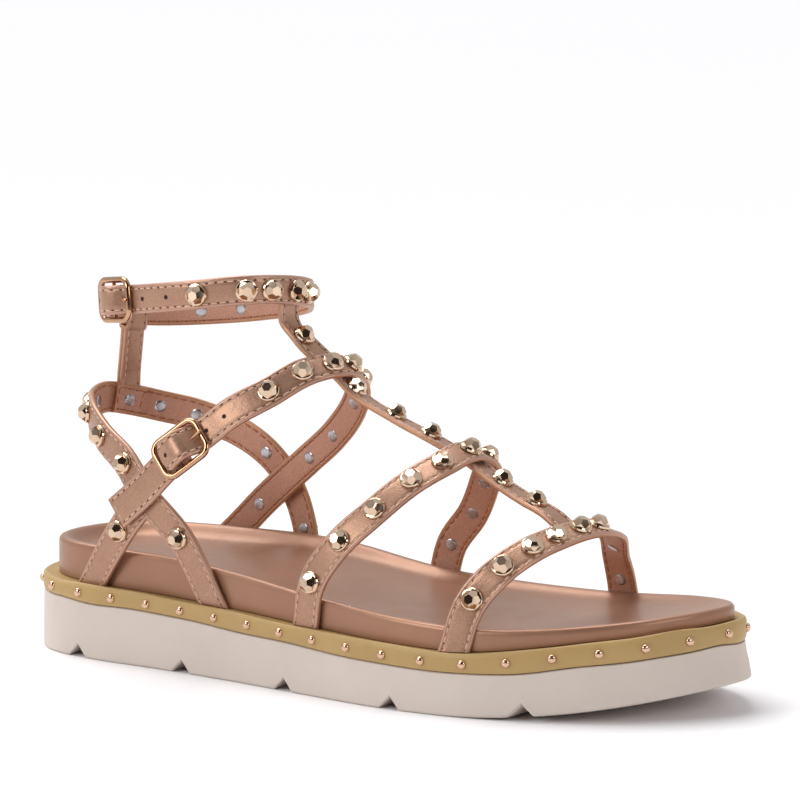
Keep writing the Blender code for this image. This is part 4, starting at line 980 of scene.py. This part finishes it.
def stitch_row(line, away, width, thickness, side, face, seats, first=0.0, last=0.0):
    """Middles and directions of the stitches of one row, a pitch apart, where the strap is off the ledge."""
    run = distance_along(line)
    spots = STITCH * (np.arange(int(run[-1] / STITCH)) + (1.0 if seats[0] else 1.0))
    spots = spots[(spots > first + 0.001) & (spots < run[-1] - last - 0.001)]
    tangent, sideways, normal = frames(line, away)
    axis = [at(part, run, spots) for part in (tangent, sideways, normal)]
    axis = [part / np.linalg.norm(part, axis=1)[:, None] for part in axis]
    up = face * (thickness / 2 - 0.00006)
    return at(line, run, spots) + side * (width / 2 - 0.0015) * axis[1] + up * axis[2], axis[0], face * axis[2]


def cross_row(strap, end, width, thickness, face):
    """A row of stitches straight across a strap, near one of its ends."""
    line, away = paths[strap]
    _, sideways, normal = frames(line, away)
    spot = 1 if end == 0 else -2
    across = line[spot] + np.linspace(0.0016 - width / 2, width / 2 - 0.0016, 12)[:, None] * sideways[spot]
    return stitch_row(across, np.tile(normal[spot], (12, 1)), 0.003, thickness, 0, face, (False, False))


def stitched(names, face):
    rows = [cross_row("tab", 0, TAB_WIDTH, STRAP_THICKNESS, 1)] if face > 0 else [
        cross_row("patch", 0, STRAP_WIDTH, PATCH_THICKNESS, -1),
        cross_row("patch", -1, STRAP_WIDTH, PATCH_THICKNESS, -1),
    ]
    for name in names:
        line, away = paths[name]
        width = {"tee": TEE_WIDTH, "tab": TAB_WIDTH, "riser": RISER_WIDTH, "ankle": ANKLE_STRAP_WIDTH}.get(name, STRAP_WIDTH)
        thickness = {"riser": 2 * half_riser, "patch": PATCH_THICKNESS}.get(name, STRAP_THICKNESS)
        first = 0.002 if name in ("instep", "ankle") else 0.0
        last = {"tab": 0.004, "ankle": 0.004}.get(name, 0.0)
        for side in (1, -1):
            rows.append(stitch_row(line, away, width, thickness, side, face, (name in ("toe", "vamp", "heel", "rear"), False), first, last))
    return [np.concatenate([row[k] for row in rows]) for k in range(3)]


# Polyester thread, dyed pale on the outside and rust on the lining side.
def thread_finish(name, code):
    made, tree, shader = new_finish(name)
    where = add_node(tree, "ShaderNodeTexCoord").outputs["Object"]
    twist = add_node(tree, "ShaderNodeTexWave", {"Vector": where, "Scale": 900.0, "Distortion": 2.0})
    ply = add_node(tree, "ShaderNodeBump", {"Height": twist.outputs[1], "Strength": 0.5, "Distance": 0.0001})
    tree.links.new(ply.outputs[0], shader.inputs["Normal"])
    shader.inputs["Base Color"].default_value = linear(code)
    shader.inputs["Roughness"].default_value = 0.55
    return made


pale_thread = thread_finish("pale_polyester_thread", "#dcb79c")
rust_thread = thread_finish("rust_polyester_thread", "#b4714b")
all_names = ("toe", "vamp", "heel", "rear", "instep", "tab", "tee", "ankle", "riser")
for title, names, face, finish in (
    ("outer_stitches", all_names, 1, pale_thread),
    ("lining_stitches", (*all_names[:-1], "patch"), -1, rust_thread),
):
    spots, along, out = stitched(names, face)
    stitches = build(title, [stamp(capsule, spots, along, out, (0.00105, THREAD, THREAD))], [finish], sharp=80.0)


# Studs: cast zinc, plated pale gold and polished. A round skirt carries a dome cut into a hexagonal
# table and two bands of facets. Each is riveted through to a flat cap on the lining.
STUD_ROWS = {
    "toe": (0.134, 0.239, 0.325, 0.402, 0.488, 0.560, 0.784, 0.911),
    "vamp": (0.091, 0.194, 0.285, 0.375, 0.451, 0.530, 0.599, 0.702, 0.796, 0.888),
    "instep": (0.228, 0.293, 0.346, 0.394, 0.453, 0.518, 0.620, 0.697, 0.845),
    "heel": (0.113, 0.263, 0.345, 0.424, 0.483, 0.554, 0.609, 0.667, 0.797, 0.930),
    "rear": (0.600,),
    "tee": (0.127, 0.232, 0.445, 0.548, 0.671, 0.845),
    "ankle": (0.200, 0.270, 0.306, 0.347, 0.380, 0.640, 0.705),
}

gold_plate, tree, shader = new_finish("polished_pale_gold_plate")
where = add_node(tree, "ShaderNodeTexCoord").outputs["Object"]
haze = add_node(tree, "ShaderNodeTexNoise", {"Vector": where, "Scale": 350.0, "Detail": 3.0})
rough = add_node(tree, "ShaderNodeMapRange", {"Value": haze.outputs[0], "To Min": 0.03, "To Max": 0.11})
waves = add_node(tree, "ShaderNodeTexNoise", {"Vector": where, "Scale": 420.0, "Detail": 1.0})
cast = add_node(tree, "ShaderNodeBump", {"Height": waves.outputs[0], "Strength": 0.10, "Distance": 0.0003})
tree.links.new(rough.outputs[0], shader.inputs["Roughness"])
tree.links.new(cast.outputs[0], shader.inputs["Normal"])
shader.inputs["Base Color"].default_value = linear("#d6bca2")
shader.inputs["Metallic"].default_value = 1.0

buckle_plate, tree, shader = new_finish("antique_gold_plate")
where = add_node(tree, "ShaderNodeTexCoord").outputs["Object"]
rubbed = add_node(tree, "ShaderNodeTexNoise", {"Vector": where, "Scale": 260.0, "Detail": 3.0})
tone = add_node(tree, "ShaderNodeMix", {0: rubbed.outputs[0], 6: linear("#a67d5e"), 7: linear("#cfa684")}, data_type="RGBA")
rough = add_node(tree, "ShaderNodeMapRange", {"Value": rubbed.outputs[0], "To Min": 0.06, "To Max": 0.2})
tree.links.new(tone.outputs[2], shader.inputs["Base Color"])
tree.links.new(rough.outputs[0], shader.inputs["Roughness"])
shader.inputs["Metallic"].default_value = 1.0

steel_cap, tree, shader = new_finish("nickel_rivet_cap")
where = add_node(tree, "ShaderNodeTexCoord").outputs["Object"]
dull = add_node(tree, "ShaderNodeTexNoise", {"Vector": where, "Scale": 180.0, "Detail": 4.0})
shade = add_node(tree, "ShaderNodeMix", {0: dull.outputs[0], 6: linear("#a09c9b"), 7: linear("#cac7cb")}, data_type="RGBA")
rough = add_node(tree, "ShaderNodeMapRange", {"Value": dull.outputs[0], "To Min": 0.16, "To Max": 0.36})
tree.links.new(shade.outputs[2], shader.inputs["Base Color"])
tree.links.new(rough.outputs[0], shader.inputs["Roughness"])
shader.inputs["Metallic"].default_value = 0.85


def faceted_dome(base, middle, table, sides=6):
    """Cut dome: rings of corners at (radius, height), the upper two turned half a side, joined by flat facets."""
    corners = []
    for (radius, height), turn in ((base, 0.0), (middle, 0.5), (table, 0.5)):
        angle = 2 * np.pi * (np.arange(sides) + turn) / sides
        corners.append(np.stack([radius * np.cos(angle), radius * np.sin(angle), np.full(sides, height)], axis=1))
    points = np.concatenate(corners)
    i = np.arange(sides)
    after = (i + 1) % sides
    faces = [tuple(range(sides))[::-1], tuple(2 * sides + i)]
    faces += [tuple(face) for face in np.stack([i, after, sides + i], axis=1)]
    faces += [tuple(face) for face in np.stack([sides + i, after, sides + after], axis=1)]
    faces += [tuple(face) for face in np.stack([sides + i, sides + after, 2 * sides + after, 2 * sides + i], axis=1)]
    return points, outward_faces(points, faces)


stud_spots, stud_along, stud_out = [], [], []
for strap, shares in STUD_ROWS.items():
    line, away = stud_paths[strap]
    shown = paths[strap][0]
    run = distance_along(line)
    tangent, _, normal = frames(line, away)
    places = np.array(shares) * run[-1]
    out = at(normal, run, places)
    out /= np.linalg.norm(out, axis=1)[:, None]
    along = at(tangent, run, places)
    along -= (along * out).sum(axis=1)[:, None] * out
    along /= np.linalg.norm(along, axis=1)[:, None]
    stud_spots.append(at(shown, run, places))
    stud_along.append(along)
    stud_out.append(out)
stud_spots, stud_along, stud_out = [np.concatenate(part) for part in (stud_spots, stud_along, stud_out)]
seats_at = stud_spots + stud_out * (STRAP_THICKNESS / 2 + 0.00004)
skirt = turned([(0.0037, 0.0), (0.00385, 0.0003), (0.00378, 0.0009), (0.0035, 0.0013), (0.0028, 0.0015)], 28)
dome = faceted_dome((0.0034, 0.0011), (0.0029, 0.0025), (0.00165, 0.0037))
studs = build("strap_studs", [
    stamp(skirt, seats_at, stud_along, stud_out),
    stamp(dome, seats_at, stud_along, stud_out),
], [gold_plate], sharp=18.0)
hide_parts(*[f"stud_{number:02d}" for number in range(1, len(stud_spots) + 1)])

near_patch = np.linalg.norm(stud_spots - paths["patch"][0][6], axis=1) < 0.006
cap_spots = stud_spots - stud_out * (STRAP_THICKNESS / 2 - 0.0001 + 0.0015 * near_patch[:, None])
cap = turned([(0.0020, -0.0001), (0.0021, 0.00015), (0.0019, 0.0003), (0.0012, 0.00038), (0.0004, 0.0004)], 20)
caps = build("rivet_caps", [stamp(cap, cap_spots, stud_along, -stud_out)], [steel_cap], sharp=50.0)


# Buckles: cast frames of round wire with a bar across the middle, and a prong hung on the bar. Both are
# plated like the studs. Punched holes show where the prong could be moved to, drawn as dark discs of painted shade.
FRAME_SHOWN = 0.00108


def frame_line(seat):
    """Rounded rectangle: straight sides joined by quarter circles."""
    half_long = BUCKLE_LENGTH / 2 - FRAME_SHOWN - BUCKLE_CORNER
    half_wide = BUCKLE_WIDTH / 2 - FRAME_SHOWN - BUCKLE_CORNER
    turn = np.radians(np.linspace(0, 90, 10)[None] + np.array([0, 90, 180, 270])[:, None]).ravel()
    signs = np.repeat(np.array([(1, 1), (-1, 1), (-1, -1), (1, -1)]), 10, axis=0)
    forward = signs[:, 0] * half_long + BUCKLE_CORNER * np.cos(turn)
    sideways = signs[:, 1] * half_wide + BUCKLE_CORNER * np.sin(turn)
    return seat.points(forward, sideways, 0.0)


for title, seat in (("instep", instep_seat), ("ankle", ankle_seat)):
    ring = frame_line(seat)
    half = BUCKLE_WIDTH / 2 - FRAME_WIRE
    bar = seat.points(0.0, np.linspace(-half, half, 4), 0.0)
    shells = [
        tube(ring, np.tile(seat.normal, (len(ring), 1)), FRAME_SHOWN, 18, closed=True),
        tube(bar, np.tile(seat.normal, (4, 1)), BAR_WIRE, 12),
    ]
    buckle = build(f"{title}_buckle_frame", shells, [buckle_plate], sharp=50.0)
    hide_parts(f"{title}_buckle")
    over = FRAME_WIRE + GAP + PRONG_WIRE
    knots = seat.points([RING_RADIUS, BAR_SPACING * 0.55, BAR_SPACING * 0.85, BAR_SPACING + FRAME_WIRE * 1.3], 0.0, [0.0, over * 0.45, over * 0.98, over * 1.04])
    rod = smooth(knots, 0.0005)
    tip = np.sqrt(np.clip((distance_along(rod)[-1] - distance_along(rod)) / 0.0009, 0.03, 1))
    turn = 2 * np.pi * np.arange(20) / 20
    ring = seat.points(RING_RADIUS * np.cos(turn), 0.0, RING_RADIUS * np.sin(turn))
    shells = [
        tube(rod, np.tile(seat.normal, (len(rod), 1)), PRONG_WIRE, 12, taper=tip),
        tube(ring, np.tile(seat.sideways, (20, 1)), PRONG_WIRE, 10, closed=True),
    ]
    prong = build(f"{title}_buckle_prong", shells, [buckle_plate], sharp=50.0)
    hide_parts(f"{title}_prong")

# Punched holes: a near-black disc laid on the strap at each, painted shade where the hole is.
painted_hole_shade, tree, shader = new_finish("painted_shade_in_punched_hole")
where = add_node(tree, "ShaderNodeTexCoord").outputs["Object"]
fuzz = add_node(tree, "ShaderNodeTexNoise", {"Vector": where, "Scale": 2500.0})
shade = add_node(tree, "ShaderNodeMix", {0: fuzz.outputs[0], 6: linear("#1c0f0b"), 7: linear("#40241a")}, data_type="RGBA")
tree.links.new(shade.outputs[2], shader.inputs["Base Color"])
shader.inputs["Roughness"].default_value = 0.9
hole_shade_disc = turned([(0.00075, -0.0002), (0.00075, 0.00008), (0.0003, 0.0001)], 16)
hole_spots, hole_along, hole_out = [], [], []
for strap, places in (("instep", (0.0035, 0.0205, 0.0284)), ("ankle", (0.0035, 0.0246, 0.0354))):
    line, away = paths[strap]
    run = distance_along(line)
    tangent, _, normal = frames(line, away)
    hole_spots.append(at(line, run, np.array(places)) + at(normal, run, np.array(places)) * (STRAP_THICKNESS / 2 + 0.00006))
    hole_along.append(at(tangent, run, np.array(places)))
    hole_out.append(at(normal, run, np.array(places)))
hole_spots, hole_along, hole_out = [np.concatenate(part) for part in (hole_spots, hole_along, hole_out)]
hole_shade_discs = build("punched_holes_painted_shade", [stamp(hole_shade_disc, hole_spots, hole_along, hole_out)], [painted_hole_shade])
